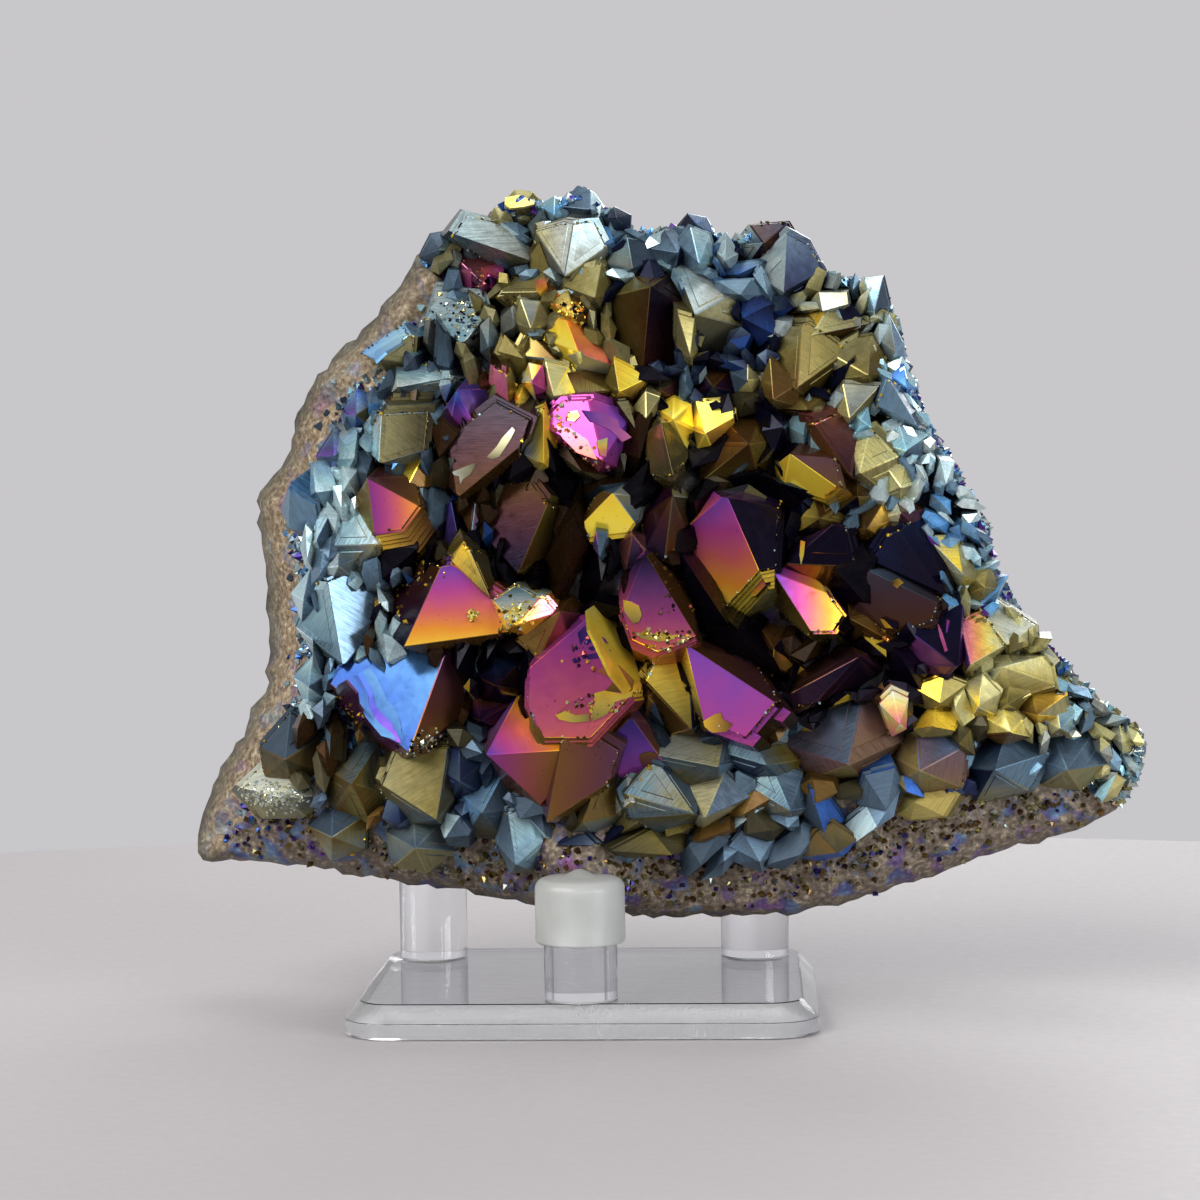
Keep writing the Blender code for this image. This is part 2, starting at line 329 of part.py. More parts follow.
SKIRT = [
    ("hazy rose block", (46.5, 46), [(32.5, 50), (40, 53.3), (47.5, 58), (54.3, 56.2), (55.6, 48.5),
     (50, 42), (38, 42)], 2, [(0, 2), (2, 4)]),
    ("pink chip", (55.3, 52.8), [(52.3, 56), (54.3, 58), (56.8, 56.8), (56.6, 51.8), (54.3, 50.6)], 2,
     []),
    ("amber cushion", (58.8, 44.5), [(55.5, 46), (58.3, 50.6), (63, 51), (66.4, 47), (65.8, 41.3),
     (59.5, 39.4), (55.7, 42)], 1.5, [(1, 3)]),
    ("striped pale block", (24.3, 46), [(13.3, 47.5), (18, 51), (25.5, 51.6), (28, 46), (24, 42),
     (18.3, 42.6)], 1, [(0, 2)]),
    ("olive gold boss", (20, 37.8), [(9.2, 41), (13, 45.4), (18.5, 45), (21.8, 40), (21.3, 35.4),
     (14, 34.3), (9.7, 37.2)], 1, [(1, 3)]),
    ("pale green boss", (21.8, 37), [(19.2, 42.5), (25, 44), (29, 40), (24.7, 36.6), (21.4, 34.2),
     (19, 37.2)], 0.5, []),
    ("blue facet block", (32.5, 46.2), [(25.2, 48), (28, 52.6), (33, 51.6), (38, 46), (35.2, 42.3),
     (29, 43.6)], 1.5, [(1, 3)]),
    ("ice wedge", (36.5, 38), [(29.8, 42), (33, 46), (38.3, 43.5), (40, 38), (36.6, 35.5),
     (31.8, 37)], 0.5, []),
    ("olive flank", (0.8, 36.5), [(-1.3, 36.8), (4, 46), (7.4, 45), (7.3, 37), (3, 33), (-2.3, 32.5)],
     0.5, [(1, 3)]),
    ("white chip", (9, 40), [(6.6, 41), (8.3, 44.7), (12.2, 43.4), (12.6, 39), (9, 36.5),
     (6.5, 37.7)], 0.5, []),
    ("olive crusted block", (-24.8, 36.8), [(-34.3, 42), (-31, 47.4), (-23, 48.4), (-21.2, 42),
     (-24.4, 34.3), (-31, 35.5)], 1, [(0, 2)]),
    ("pale blue prism", (-11, 28.8), [(-14.7, 32), (-13, 37), (-8.5, 37.4), (-6.8, 32), (-9, 27),
     (-12.6, 26.6)], 0.5, [(1, 3)]),
    ("blue white chips", (-17, 38), [(-21.3, 40), (-18, 45), (-12.8, 43.4), (-11.2, 38), (-14, 33),
     (-20, 33.5)], 0, [(0, 2)]),
    ("indigo shadow", (-20.5, 43.5), [(-24.3, 45), (-21, 50.5), (-15.8, 47.3), (-17.3, 41),
     (-22, 40)], 0, []),
    ("blue slate block", (72, 44), [(65.8, 43), (69, 49), (76, 50), (81.3, 46), (78, 40), (70, 38)],
     0.5, [(0, 2)]),
    ("blue slate tail", (85, 43.5), [(79.7, 45), (83, 50), (90, 49), (93.3, 44), (88, 39.6),
     (81.3, 40)], 0, []),
    ("umber blue block", (-40, 43), [(-46.3, 44), (-42, 51), (-35, 48), (-33.7, 40), (-38, 35.5),
     (-44, 37.6)], 0, [(0, 2)]),
    ("umber block", (-52, 46.8), [(-57, 48), (-52, 53.5), (-46.2, 50.3), (-46.7, 44.3), (-52, 42),
     (-56.3, 43.6)], -1, []),
    ("frosted patch", (-53, 40.2), [(-61, 40.5), (-57, 44.3), (-50, 43.4), (-46, 39.5), (-50, 36),
     (-57, 36)], 0, [(0, 2)]),
    ("grey block", (-29, 31.3), [(-34.4, 33), (-30, 37), (-24.8, 35.4), (-23.6, 30), (-28, 26.5),
     (-33.3, 27.6)], -1, []),
    ("rust grey block", (-44, 33), [(-48.5, 34), (-44.5, 38), (-39, 36), (-39.5, 30.5), (-45, 28.5)],
     -1, []),
]

# Small crystals that fill the rims: (centre X, centre Z, half width, half height, count)
FILLS = [
    (-45, 92, 3, 9, 3), (-47, 66, 2, 5, 1), (-34, 126, 4, 3, 2), (-27, 129, 3, 4, 1),
    (30, 125, 5, 4, 3), (45, 127, 5, 2, 3), (14, 137, 4, 1, 1), (57, 95, 3, 4, 1),
    (64, 90, 3, 5, 3), (85, 57, 4, 3, 3), (91, 50, 4, 4, 3), (77, 36, 8, 2, 2),
    (50, 36, 12, 2, 3), (-57, 34, 6, 3, 2),
]
FILL_SEED = 11
RING_GROWTH = 1.13              # neighbours grow into each other by this much
POINT_RATIO = 1.15              # point height over girdle radius
LEAN_LIMIT = math.radians(46)
RING_SHARE = 0.7                # how much a leaning girdle counts towards a crystal's reach
ROOT_LENGTH = 13.0              # prism behind the girdle
SHORTEST_ROOT = 2.0
ROOT_COVER = 3.0                # rind left behind a root
ROOT_LEAN_GAP = 14.0            # roots lean less the nearer they are to the outline
FLAT_ANGLE = math.radians(0.4)  # facets closer than this are one face
SMALL_SIDES = 5
SMALL_SIZE = (1.6, 2.9)         # girdle radius of a scattered point
SMALL_SINK = (-1.5, 0.8)        # how far its tip stands behind the bulging surface
SMALL_LEAN = 0.6                # sideways shift of the tip over its radius
SMALL_UNEVEN = (0.85, 1.15)
SMALL_ROOT = 7.0


def material(name, colour, roughness, metallic=0.0, alpha=1.0):
    mat = bpy.data.materials.new(name)
    mat.use_nodes = True
    shader = mat.node_tree.nodes["Principled BSDF"]
    shader.inputs["Base Color"].default_value = (*colour, 1.0)
    shader.inputs["Roughness"].default_value = roughness
    shader.inputs["Metallic"].default_value = metallic
    shader.inputs["Alpha"].default_value = alpha
    return mat


def object_from(bm, name, mat):
    """Write a bmesh in millimetres to a named object in metres."""
    bmesh.ops.scale(bm, vec=(MM, MM, MM), verts=bm.verts)
    bmesh.ops.recalc_face_normals(bm, faces=bm.faces)
    mesh = bpy.data.meshes.new(name)
    bm.to_mesh(mesh)
    bm.free()
    obj = bpy.data.objects.new(name, mesh)
    bpy.context.scene.collection.objects.link(obj)
    if mat:
        mesh.materials.append(mat)
    return obj


# ---- crystals --------------------------------------------------------------
def plane(points, inside):
    """Best plane through points as (normal, offset), with inside on its negative side."""
    middle = points.mean(axis=0)
    normal = np.linalg.svd(points - middle)[2][2]
    if normal @ (inside - middle) > 0:
        normal = -normal
    return normal, normal @ middle


def corners_of(planes):
    """Corners of the solid bounded by the planes: every triple meeting that lies inside all."""
    normals = np.array([p[0] for p in planes])
    offsets = np.array([p[1] for p in planes])
    found = []
    count = len(planes)
    for i in range(count):
        for j in range(i + 1, count):
            for k in range(j + 1, count):
                three = normals[[i, j, k]]
                if abs(np.linalg.det(three)) < 1e-4:
                    continue
                point = np.linalg.solve(three, offsets[[i, j, k]])
                if (normals @ point - offsets < 1e-6).all():
                    found.append(point)
    return found


def crystal(tip, ring, out, flats):
    """Corners of one crystal: a faceted point on a prism that runs back into the rock."""
    ring = np.array(ring, float)
    tip = np.array(tip, float)
    centre = ring.mean(axis=0)
    ring = centre + (ring - centre) * RING_GROWTH
    offset = tip - centre
    radius = np.linalg.norm(ring - centre, axis=1).mean()
    height = POINT_RATIO * radius
    reach = np.linalg.norm(offset)
    lean = min(math.asin(min(reach / height, 1.0)), LEAN_LIMIT)
    sideways = offset / max(reach, 1e-6) * math.sin(lean)
    axis = np.array([sideways[0], -math.cos(lean), sideways[1]])

    away = ring - centre
    ring_y = -(away[:, 0] * axis[0] + away[:, 1] * axis[2]) / axis[1]
    tip_y = -height * math.cos(lean)
    forward = face_depth(*centre) - out - min(tip_y, ring_y.min() * RING_SHARE)
    girdle = np.column_stack([ring[:, 0], ring_y + forward, ring[:, 1]])
    point = np.array([tip[0], tip_y + forward, tip[1]])

    lean_share = min(edge_distance(*centre)[0] / ROOT_LEAN_GAP, 1.0)
    back = -(axis * lean_share + np.array([0.0, -1.0, 0.0]))
    back /= np.linalg.norm(back)
    middle = np.array([centre[0], forward, centre[1]])
    root = min(ROOT_LENGTH, max(rock_back(*centre) - ROOT_COVER - forward, SHORTEST_ROOT))
    inside = middle + back * root * 0.5
    count = len(girdle)
    shared = set()
    planes = []
    for first, last in flats:
        run = [k % count for k in range(first, last + 1)]
        shared.update(k % count for k in range(first, last))
        weighted = [point] * 3 + [girdle[k] for k in run]
        planes.append(plane(np.array(weighted), inside))
    for k in range(count):
        a, b = girdle[k], girdle[(k + 1) % count]
        if k not in shared:
            planes.append(plane(np.array([point, a, b]), inside))
        planes.append(plane(np.array([a, b, a + back * root, b + back * root]), inside))
    planes.append((back, back @ (middle + back * root)))
    return corners_of(planes)


def hull(bm, points):
    """Add the convex solid around the points."""
    verts = [bm.verts.new(Vector(p)) for p in points]
    made = bmesh.ops.convex_hull(bm, input=verts)
    loose = [v for v in made["geom_interior"] + made["geom_unused"] if isinstance(v, bmesh.types.BMVert)]
    bmesh.ops.delete(bm, geom=list(set(loose)), context="VERTS")
    bmesh.ops.dissolve_limit(bm, angle_limit=FLAT_ANGLE, verts=bm.verts, edges=bm.edges)


def small_crystals(random):
    """Seeded five-sided points scattered over the rims."""
    made = []
    for x, z, half_x, half_z, count in FILLS:
        for _ in range(count):
            centre = np.array([x + random.uniform(-half_x, half_x), z + random.uniform(-half_z, half_z)])
            size = random.uniform(*SMALL_SIZE)
            start = random.uniform(0, math.tau)
            front = face_depth(*centre) - random.uniform(*SMALL_SINK)
            lean = random.uniform(-SMALL_LEAN, SMALL_LEAN, 2) * size
            points = [(centre[0] + lean[0], front, centre[1] + lean[1])]
            girdle = front + size * POINT_RATIO
            for step in range(SMALL_SIDES):
                turn = start + step * math.tau / SMALL_SIDES
                arm = size * random.uniform(*SMALL_UNEVEN)
                points.append((centre[0] + arm * math.cos(turn), girdle, centre[1] + arm * math.sin(turn)))
            root = min(girdle + SMALL_ROOT, rock_back(*centre) - 1.0)
            points.append((centre[0], root, centre[1]))
            made.append(points)
    return made


# ---- rock ------------------------------------------------------------------
def outline_pairs():
    return zip(EDGE, EDGE[1:] + EDGE[:1])


def edge_distance(x, z):
    """Distance to the outline, and the outline's Y and side at the nearest place."""
    best = (1e9, 0.0, "other")
    for (ax, az, ay), (bx, bz, by) in outline_pairs():
        length = (bx - ax) ** 2 + (bz - az) ** 2
        t = min(max(((x - ax) * (bx - ax) + (z - az) * (bz - az)) / length, 0.0), 1.0)
        px, pz = ax + t * (bx - ax), az + t * (bz - az)
        gap = math.hypot(x - px, z - pz)
        if gap < best[0]:
            side = "bottom" if pz < 36 and px > -66 else "left" if px < -28 else "other"
            best = (gap, ay + t * (by - ay), side)
    return best


def inside_edge(x, z):
    """True where a line to the left crosses the outline an odd number of times."""
    crossings = False
    for (ax, az, _), (bx, bz, _) in outline_pairs():
        if (az > z) != (bz > z) and x < (bx - ax) * (z - az) / (bz - az) + ax:
            crossings = not crossings
    return crossings


def ripple(x, y, z, size, seed):
    """Smooth noise between about -1 and 1."""
    return noise.noise(Vector((x / size + seed, y / size, z / size)))


def rock_front(x, z):
    """Y of the bed the crystals stand on, falling back to the outline through broken sides."""
    gap, edge_y, side = edge_distance(x, z)
    t = min(gap / SIDE_RUN[side], 1.0)
    t = t * t * (3 - 2 * t)
    bed = face_depth(x, z) + BED_DEPTH
    ledge = sum(height * ripple(x, 0, z, size, seed) for height, size, seed in LEDGES)
    knob_x, knob_z, forward, spread = FRONT_REST
    rest = -forward * math.exp(-((x - knob_x) ** 2 + (z - knob_z) ** 2) / spread ** 2)
    blunt = RIM_THICK[side] * math.sqrt(min(gap / RIM_BLUNT, 1.0)) * (1 - t)
    return edge_y - blunt + (bed - edge_y) * t + ledge * min(gap / LEDGE_FADE, 1.0) + rest


def rock_back(x, z):
    """Y of the lumpy outer rind."""
    gap, edge_y, side = edge_distance(x, z)
    blunt = RIM_THICK[side] * math.sqrt(min(gap / RIM_BLUNT, 1.0))
    t = min(gap / BACK_RUN, 1.0)
    bulge = 1.0 - (1.0 - t) ** 2.3
    reach = BACK_REACH - 7.0 * ((x - 5.0) / 90.0) ** 2
    lump = sum(height * ripple(x, 9, z, size, seed) for height, size, seed in LUMPS)
    return edge_y + blunt + (reach - edge_y - blunt) * bulge + lump * min(gap / LUMP_FADE, 1.0)


def rock():
    """Closed rock: front and back surfaces over one triangulation, joined at the edge."""
    points = [Vector((x, z)) for x, z, _ in EDGE]
    rim = len(points)
    for before, here, after in zip(EDGE[-1:] + EDGE[:-1], EDGE, EDGE[1:] + EDGE[:1]):
        inward = Vector((after[1] - before[1], before[0] - after[0])).normalized() * RIM_INSET
        points.append(Vector(here[:2]) + inward)
    left = min(x for x, _, _ in EDGE) - ROCK_SPACING / 2
    right = max(x for x, _, _ in EDGE)
    low = min(z for _, z, _ in EDGE) - ROCK_SPACING / 3
    high = max(z for _, z, _ in EDGE)
    row_height = ROCK_SPACING * math.sin(math.pi / 3)
    for row in range(int((high - low) / row_height)):
        for column in range(int((right - left) / ROCK_SPACING)):
            x = left + (column + 0.5 * (row % 2)) * ROCK_SPACING
            z = low + row * row_height
            x += ROCK_JITTER * ripple(x, 3, z, 2.3, 0.7)
            z += ROCK_JITTER * ripple(x, 5, z, 2.3, 4.1)
            if inside_edge(x, z) and edge_distance(x, z)[0] > RIM_INSET + ROCK_SPACING / 2:
                points.append(Vector((x, z)))
    loop = list(range(rim))
    flat = delaunay_2d_cdt(points, [], [loop], 1, 1e-5)
    bm = bmesh.new()
    front = []
    back = []
    for index, spot in enumerate(flat[0]):
        sources = flat[3][index]
        on_edge = any(s < rim for s in sources)
        if on_edge:
            y = EDGE[min(sources)][2]
            vert = bm.verts.new((spot.x, y, spot.y))
            front.append(vert)
            back.append(vert)
        else:
            front.append(bm.verts.new((spot.x, rock_front(spot.x, spot.y), spot.y)))
            back.append(bm.verts.new((spot.x, rock_back(spot.x, spot.y), spot.y)))
    for face in flat[2]:
        if all(front[i] is back[i] for i in face):
            continue
        bm.faces.new([front[i] for i in face])
        bm.faces.new([back[i] for i in reversed(face)])
    return bm


# ---- stand -----------------------------------------------------------------
def base_plate(mat):
    """Rounded plate with a polished bevel round its top."""
    bm = bmesh.new()
    levels = [(0.0, PLATE_BREAK), (PLATE_BREAK, 0.0),
              (PLATE_THICK - PLATE_BEVEL, 0.0), (PLATE_THICK, PLATE_BEVEL)]
    rings = []
    for z, inset in levels:
        ring = []
        for corner, (sx, sy) in enumerate([(1, 1), (-1, 1), (-1, -1), (1, -1)]):
            for step in range(CORNER_STEPS + 1):
                turn = math.radians(90 * corner + 90 * step / CORNER_STEPS)
                cx = sx * (PLATE_WIDTH / 2 - PLATE_CORNER)
                cy = sy * (PLATE_DEPTH / 2 - PLATE_CORNER)
                arm = PLATE_CORNER - inset
                ring.append(bm.verts.new((cx + arm * math.cos(turn), cy + arm * math.sin(turn), z)))
        rings.append(ring)
    for low, high in zip(rings, rings[1:]):
        for k in range(len(low)):
            n = (k + 1) % len(low)
            bm.faces.new((low[k], low[n], high[n], high[k]))
    bm.faces.new(reversed(rings[0]))
    bm.faces.new(rings[-1])
    return object_from(bm, "stand_base", mat)


def turned(profile, place, name, mat):
    """Solid of revolution from a (radius, Z) profile that starts and ends on the axis."""
    bm = bmesh.new()
    columns = []
    for radius, z in profile:
        if radius == 0:
            columns.append([bm.verts.new((place[0], place[1], z))])
            continue
        ring = []
        for k in range(TURN_STEPS):
            turn = k * math.tau / TURN_STEPS
            x = place[0] + radius * math.cos(turn)
            y = place[1] + radius * math.sin(turn)
            ring.append(bm.verts.new((x, y, z)))
        columns.append(ring)
    for low, high in zip(columns, columns[1:]):
        for k in range(TURN_STEPS):
            n = (k + 1) % TURN_STEPS
            corners = [low[k % len(low)], low[n % len(low)], high[n % len(high)], high[k % len(high)]]
            bm.faces.new(list(dict.fromkeys(corners)))
    return object_from(bm, name, mat)


def rod(place, top, name, mat):
    radius = ROD_DIAMETER / 2
    low = PLATE_THICK + GAP
    profile = [(0, low), (radius, low), (radius, top - ROD_BREAK), (radius - ROD_BREAK, top), (0, top)]
    return turned(profile, place, name, mat)


def cap_outside(top, grow):
    """Outer profile of a cap from its rim up to the nub, grown outwards by grow."""
    outer = CAP_DIAMETER / 2 + grow
    rim = top - CAP_HEIGHT
    points = [(outer - CAP_LIP, rim - grow), (outer, rim + CAP_LIP)]
    for step in range(3):
        turn = math.radians(step * 45.0)
        points.append((outer - CAP_ROUND + CAP_ROUND * math.cos(turn),
                       top + grow - CAP_ROUND + CAP_ROUND * math.sin(turn)))
    points.append((NUB_FOOT, top + grow + CAP_DOME))
    points.append((NUB_TOP, top + grow + CAP_NUB))
    points.append((0, top + grow + CAP_NUB))
    return points


def cap(place, top, name, mat):
    inner = ROD_DIAMETER / 2 + GAP
    ceiling = top - CAP_TOP_WALL
    hollow = [(0, ceiling), (inner, ceiling), (inner, top - CAP_HEIGHT)]
    return turned(hollow + cap_outside(top, 0.0), place, name, mat)


# ---- cluster ---------------------------------------------------------------
def boolean(target, operation, cutters):
    """Apply one exact boolean with a collection of cutters, then remove them."""
    group = bpy.data.collections.new("cutters")
    for cutter in cutters:
        group.objects.link(cutter)
    modifier = target.modifiers.new(operation, "BOOLEAN")
    modifier.solver = "EXACT"
    modifier.operation = operation
    modifier.operand_type = "COLLECTION"
    modifier.collection = group
    graph = bpy.context.evaluated_depsgraph_get()
    result = bpy.data.meshes.new_from_object(target.evaluated_get(graph))
    target.modifiers.clear()
    target.data = result
    for cutter in cutters:
        bpy.data.objects.remove(cutter)
    bpy.data.collections.remove(group)


def keep_largest(mesh):
    """Drop enclosed pockets and crumbs: only the piece with most faces stays."""
    bm = bmesh.new()
    bm.from_mesh(mesh)
    bmesh.ops.triangulate(bm, faces=bm.faces)
    left = set(bm.faces)
    pieces = []
    while left:
        stack = [left.pop()]
        piece = list(stack)
        while stack:
            for edge in stack.pop().edges:
                for other in edge.link_faces:
                    if other in left:
                        left.remove(other)
                        stack.append(other)
                        piece.append(other)
        pieces.append(piece)
    pieces.sort(key=len)
    for piece in pieces[:-1]:
        bmesh.ops.delete(bm, geom=piece, context="FACES")
    bmesh.ops.delete(bm, geom=[v for v in bm.verts if not v.link_faces], context="VERTS")
    open_edges = sum(1 for e in bm.edges if len(e.link_faces) != 2)
    print("cluster pieces", len(pieces), "triangles", len(bm.faces), "bad edges", open_edges)
    bm.to_mesh(mesh)
    bm.free()


def cluster(mat):
    """Rock and crystals as one solid, with shallow seats where the caps touch it."""
    body = object_from(rock(), "quartz_cluster", mat)
    solids = []
    named = HEART + CROWN + LEFT_FLANK + RIGHT_RIM + SKIRT
    shapes = [(name, crystal(tip, ring, out, flats)) for name, tip, ring, out, flats in named]
    shapes += [("fill", points) for points in small_crystals(np.random.default_rng(FILL_SEED))]
    for name, points in shapes:
        if len(points) < 4:
            print("no solid for", name)
            continue
        bm = bmesh.new()
        hull(bm, points)
        solids.append(object_from(bm, name, None))
    boolean(body, "UNION", solids)
    seats = []
    for place, top in stand_places():
        outside = cap_outside(top, GAP)
        solid = [(0, outside[0][1])] + outside
        seats.append(turned(solid, place, "seat", None))
    boolean(body, "DIFFERENCE", seats)
    keep_largest(body.data)
    body.data.materials.clear()
    body.data.materials.append(mat)
    return body


def stand_places():
    x, y = REAR_ROD
    return [(FRONT_ROD, FRONT_CAP_TOP), ((-x, y), REAR_CAP_TOP), ((x, y), REAR_CAP_TOP)]


def build():
    for obj in list(bpy.data.objects):
        bpy.data.objects.remove(obj)
    quartz = material("aura_quartz", (0.30, 0.26, 0.34), 0.22, 0.5)
    acrylic = material("clear_acrylic", (0.93, 0.95, 0.94), 0.05, 0.0, 0.35)
    vinyl = material("milky_vinyl", (0.78, 0.80, 0.76), 0.45, 0.0, 0.85)
    base_plate(acrylic)
    for (place, top), name in zip(stand_places(), ("front", "rear_left", "rear_right")):
        rod(place, top - CAP_TOP_WALL - GAP, name + "_post", acrylic)
        cap(place, top, name + "_cap", vinyl)
    cluster(quartz)


build()
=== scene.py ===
# %% [markdown]
# # An aura quartz cluster on a clear stand
#
# A slab of quartz points, grown in a rock cavity and sawn out with some of its rind, then coated in a
# vacuum with a very thin metal film. The film shows interference colours: gold where it is thinnest,
# then copper, magenta, violet and blue, and a pale ice colour where it is thickest. The slab rests on
# three clear rods with soft caps. This lesson builds the crystals as cut solids, the rock as a
# displaced slab, the druse as thousands of tiny points, and the stand as turned and bevelled parts.

# %% the fixed frame
import math
from collections import namedtuple
from itertools import combinations

import bmesh
import bpy
import numpy as np
from mathutils import Matrix, Vector, noise
from mathutils.geometry import delaunay_2d_cdt


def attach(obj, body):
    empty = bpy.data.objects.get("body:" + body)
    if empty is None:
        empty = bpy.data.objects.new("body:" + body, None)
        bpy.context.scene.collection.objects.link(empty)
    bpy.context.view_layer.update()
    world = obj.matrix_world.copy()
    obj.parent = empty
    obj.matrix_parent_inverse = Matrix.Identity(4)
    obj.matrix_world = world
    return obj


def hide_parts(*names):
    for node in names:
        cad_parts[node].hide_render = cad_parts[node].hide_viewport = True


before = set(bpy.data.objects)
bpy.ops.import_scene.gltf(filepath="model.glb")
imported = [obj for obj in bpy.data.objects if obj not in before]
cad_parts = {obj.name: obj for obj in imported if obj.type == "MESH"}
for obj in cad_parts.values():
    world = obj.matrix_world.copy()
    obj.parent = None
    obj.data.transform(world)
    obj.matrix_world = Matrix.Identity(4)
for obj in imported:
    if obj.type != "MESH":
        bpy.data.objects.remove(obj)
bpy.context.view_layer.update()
MM = 0.001
print("nodes", sorted(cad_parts))


# %% [markdown]
# ## Camera, floor and light
#
# The piece is looked at from a little above, with a long lens, so its verticals stay parallel. The floor
# is a plain pale round table top. The coating works like a coloured mirror, so the light matters more
# than usual: large soft panels give each facet one even tone, and a dim room leaves the hollows dark.

# %% camera
LENS, SENSOR_WIDTH = 88.47, 36.0
CAMERA_AT = (0.0295, -0.5294, 0.0990)
YAW, PITCH, ROLL = (math.radians(v) for v in (-2.863, 2.752, -0.78))


def add_object(name, data):
    """Put new data in the scene as an object."""
    obj = bpy.data.objects.new(name, data)
    bpy.context.scene.collection.objects.link(obj)
    return obj


forward = Vector((math.sin(YAW) * math.cos(PITCH), math.cos(YAW) * math.cos(PITCH), -math.sin(PITCH)))
flat_right = Vector((math.cos(YAW), -math.sin(YAW), 0.0))
flat_up = flat_right.cross(forward)
right = flat_right * math.cos(ROLL) + flat_up * math.sin(ROLL)
up = flat_up * math.cos(ROLL) - flat_right * math.sin(ROLL)
camera = add_object("camera", bpy.data.cameras.new("camera"))
camera.data.sensor_width = SENSOR_WIDTH
camera.data.lens = LENS
turn = Matrix((right, up, -forward)).transposed().to_4x4()
turn.translation = Vector(CAMERA_AT)
camera.matrix_world = turn
bpy.context.scene.camera = camera
bpy.context.scene.view_settings.view_transform = "Standard"
print("camera lens", LENS, "mm")

# %% soft panels
PANELS_LOOK_AT = Vector((0.0, 0.0, 0.08))
PANELS = [  # (name, place, size, power, colour)
    ("key_panel", (-1.12, -1.28, 1.24), (1.65, 1.2), 47.0, (1.0, 0.98, 0.95)),
    ("fill_panel", (0.95, -0.75, 0.35), (0.6, 0.7), 9.5, (0.94, 0.97, 1.0)),
    ("top_panel", (0.1, 0.15, 1.05), (0.8, 0.6), 4.0, (1.0, 1.0, 1.0)),
    ("back_panel", (0.35, 0.95, 0.55), (0.7, 0.5), 5.0, (1.0, 1.0, 1.0)),
]
for name, place, size, power, colour in PANELS:
    light = bpy.data.lights.new(name, "AREA")
    light.shape = "RECTANGLE"
    light.size, light.size_y = size
    light.energy = power
    light.color = colour
    lamp = add_object(name, light)
    lamp.location = place
    lamp.rotation_euler = (PANELS_LOOK_AT - Vector(place)).to_track_quat("-Z", "Y").to_euler()
print(len(PANELS), "panels")


# %% node helpers
def linear(colour):
    """Screen colour to linear light."""
    return tuple(c / 12.92 if c <= 0.04045 else ((c + 0.055) / 1.055) ** 2.4 for c in colour)


def add_node(tree, kind, sockets=(), **settings):
    """Add a node; sockets is a list of (name or number, value or socket)."""
    made = tree.nodes.new("ShaderNode" + kind)
    for key, value in settings.items():
        setattr(made, key, value)
    for key, value in sockets:
        if isinstance(value, bpy.types.NodeSocket):
            tree.links.new(value, made.inputs[key])
        else:
            made.inputs[key].default_value = value
    return made


def spread_node(tree, value, low, high, to_low=0.0, to_high=1.0):
    """Stretch a value from one range to another, clamped."""
    made = add_node(tree, "MapRange", [("Value", value), ("From Min", low), ("From Max", high),
                                       ("To Min", to_low), ("To Max", to_high)])
    return made.outputs["Result"]


def mix_colour(tree, share, a, b, blend="MIX"):
    """Mix two colours; a and b are sockets or RGBA."""
    made = add_node(tree, "Mix", [(0, share), (6, a), (7, b)], data_type="RGBA", blend_type=blend)
    return made.outputs[2]


# %% a dim room with a pale wall behind the piece
DIM_ROOM, PALE_WALL = (0.27, 0.28, 0.30, 1.0), (0.58, 0.57, 0.59, 1.0)
WALL_FROM, WALL_FULL = 0.35, 0.75
room = bpy.data.worlds.new("room")
bpy.context.scene.world = room
room.use_nodes = True
tree = room.node_tree
tree.nodes.clear()
way = add_node(tree, "TexCoord").outputs["Generated"]
rearward = add_node(tree, "SeparateXYZ", [("Vector", way)]).outputs["Y"]
wall = mix_colour(tree, spread_node(tree, rearward, WALL_FROM, WALL_FULL), DIM_ROOM, PALE_WALL)
glow = add_node(tree, "Background", [("Color", wall)]).outputs["Background"]
add_node(tree, "OutputWorld", [("Surface", glow)])
print("room", len(tree.nodes), "nodes")


# %% [markdown]
# ## The slab's outline and its two surfaces
#
# Two height fields describe the slab: the bulging level that the crystal points reach, and the lumpy rind
# behind. Everything else is placed from these, so a crystal always has rock behind it. Sizes here are in
# millimetres, and a last scaling turns each finished mesh into metres. The outline is a list of X, Z and Y.

# %% reading numbers from text
def places(words):
    """Groups of numbers: "1,2 3,4" gives [(1.0, 2.0), (3.0, 4.0)]."""
    return [tuple(map(float, group.split(","))) for group in words.split()]


def table(text):
    """Cells of a table. A row starts at the margin and goes on in indented lines; | parts its cells."""
    rows = text.strip().replace("\n ", " ").split("\n")
    return [[cell.strip() for cell in row.split("|")] for row in rows]


EDGE_A = np.array(places("""
-11,145,-8 -5,144,-8 0,145,-8 5,143,-8 10,139,-8 16,139,-8 22,140,-8 26,137,-8 34,138,-8 39,137,-8
43,131,-7 52,129,-6 56,124,-5 58,115,-5 62,104,-5 68,94,-4 72,86,-4 74,77,-4 78,70,-5 85,62,-6 93,54,-6
99,49,-6 99,43,-4 95,35,-1 88,31,0 76,28,0 67,25,-1 57,22,-2 47,19,-3 36,17,-4 26,17,-5 14,17,-5 3,18,-5
-9,19,-5 -20,21,-4 -34,23,-2 -46,25,0 -60,26,3 -71,26,5 -73,29,7 -70,38,9 -66,46,9 -61,55,10 -59,64,12
-59,74,12 -60,84,12 -61,92,11 -55,100,9 -52,108,6 -48,115,4 -42,120,1 -36,125,-2 -31,132,-3 -25,138,-6
-17,140,-7
"""))
EDGE_B = np.roll(EDGE_A, -1, axis=0)
LOW, HIGH = EDGE_A[:, :2].min(0), EDGE_A[:, :2].max(0)
print("slab", LOW[0], "to", HIGH[0], "mm wide")


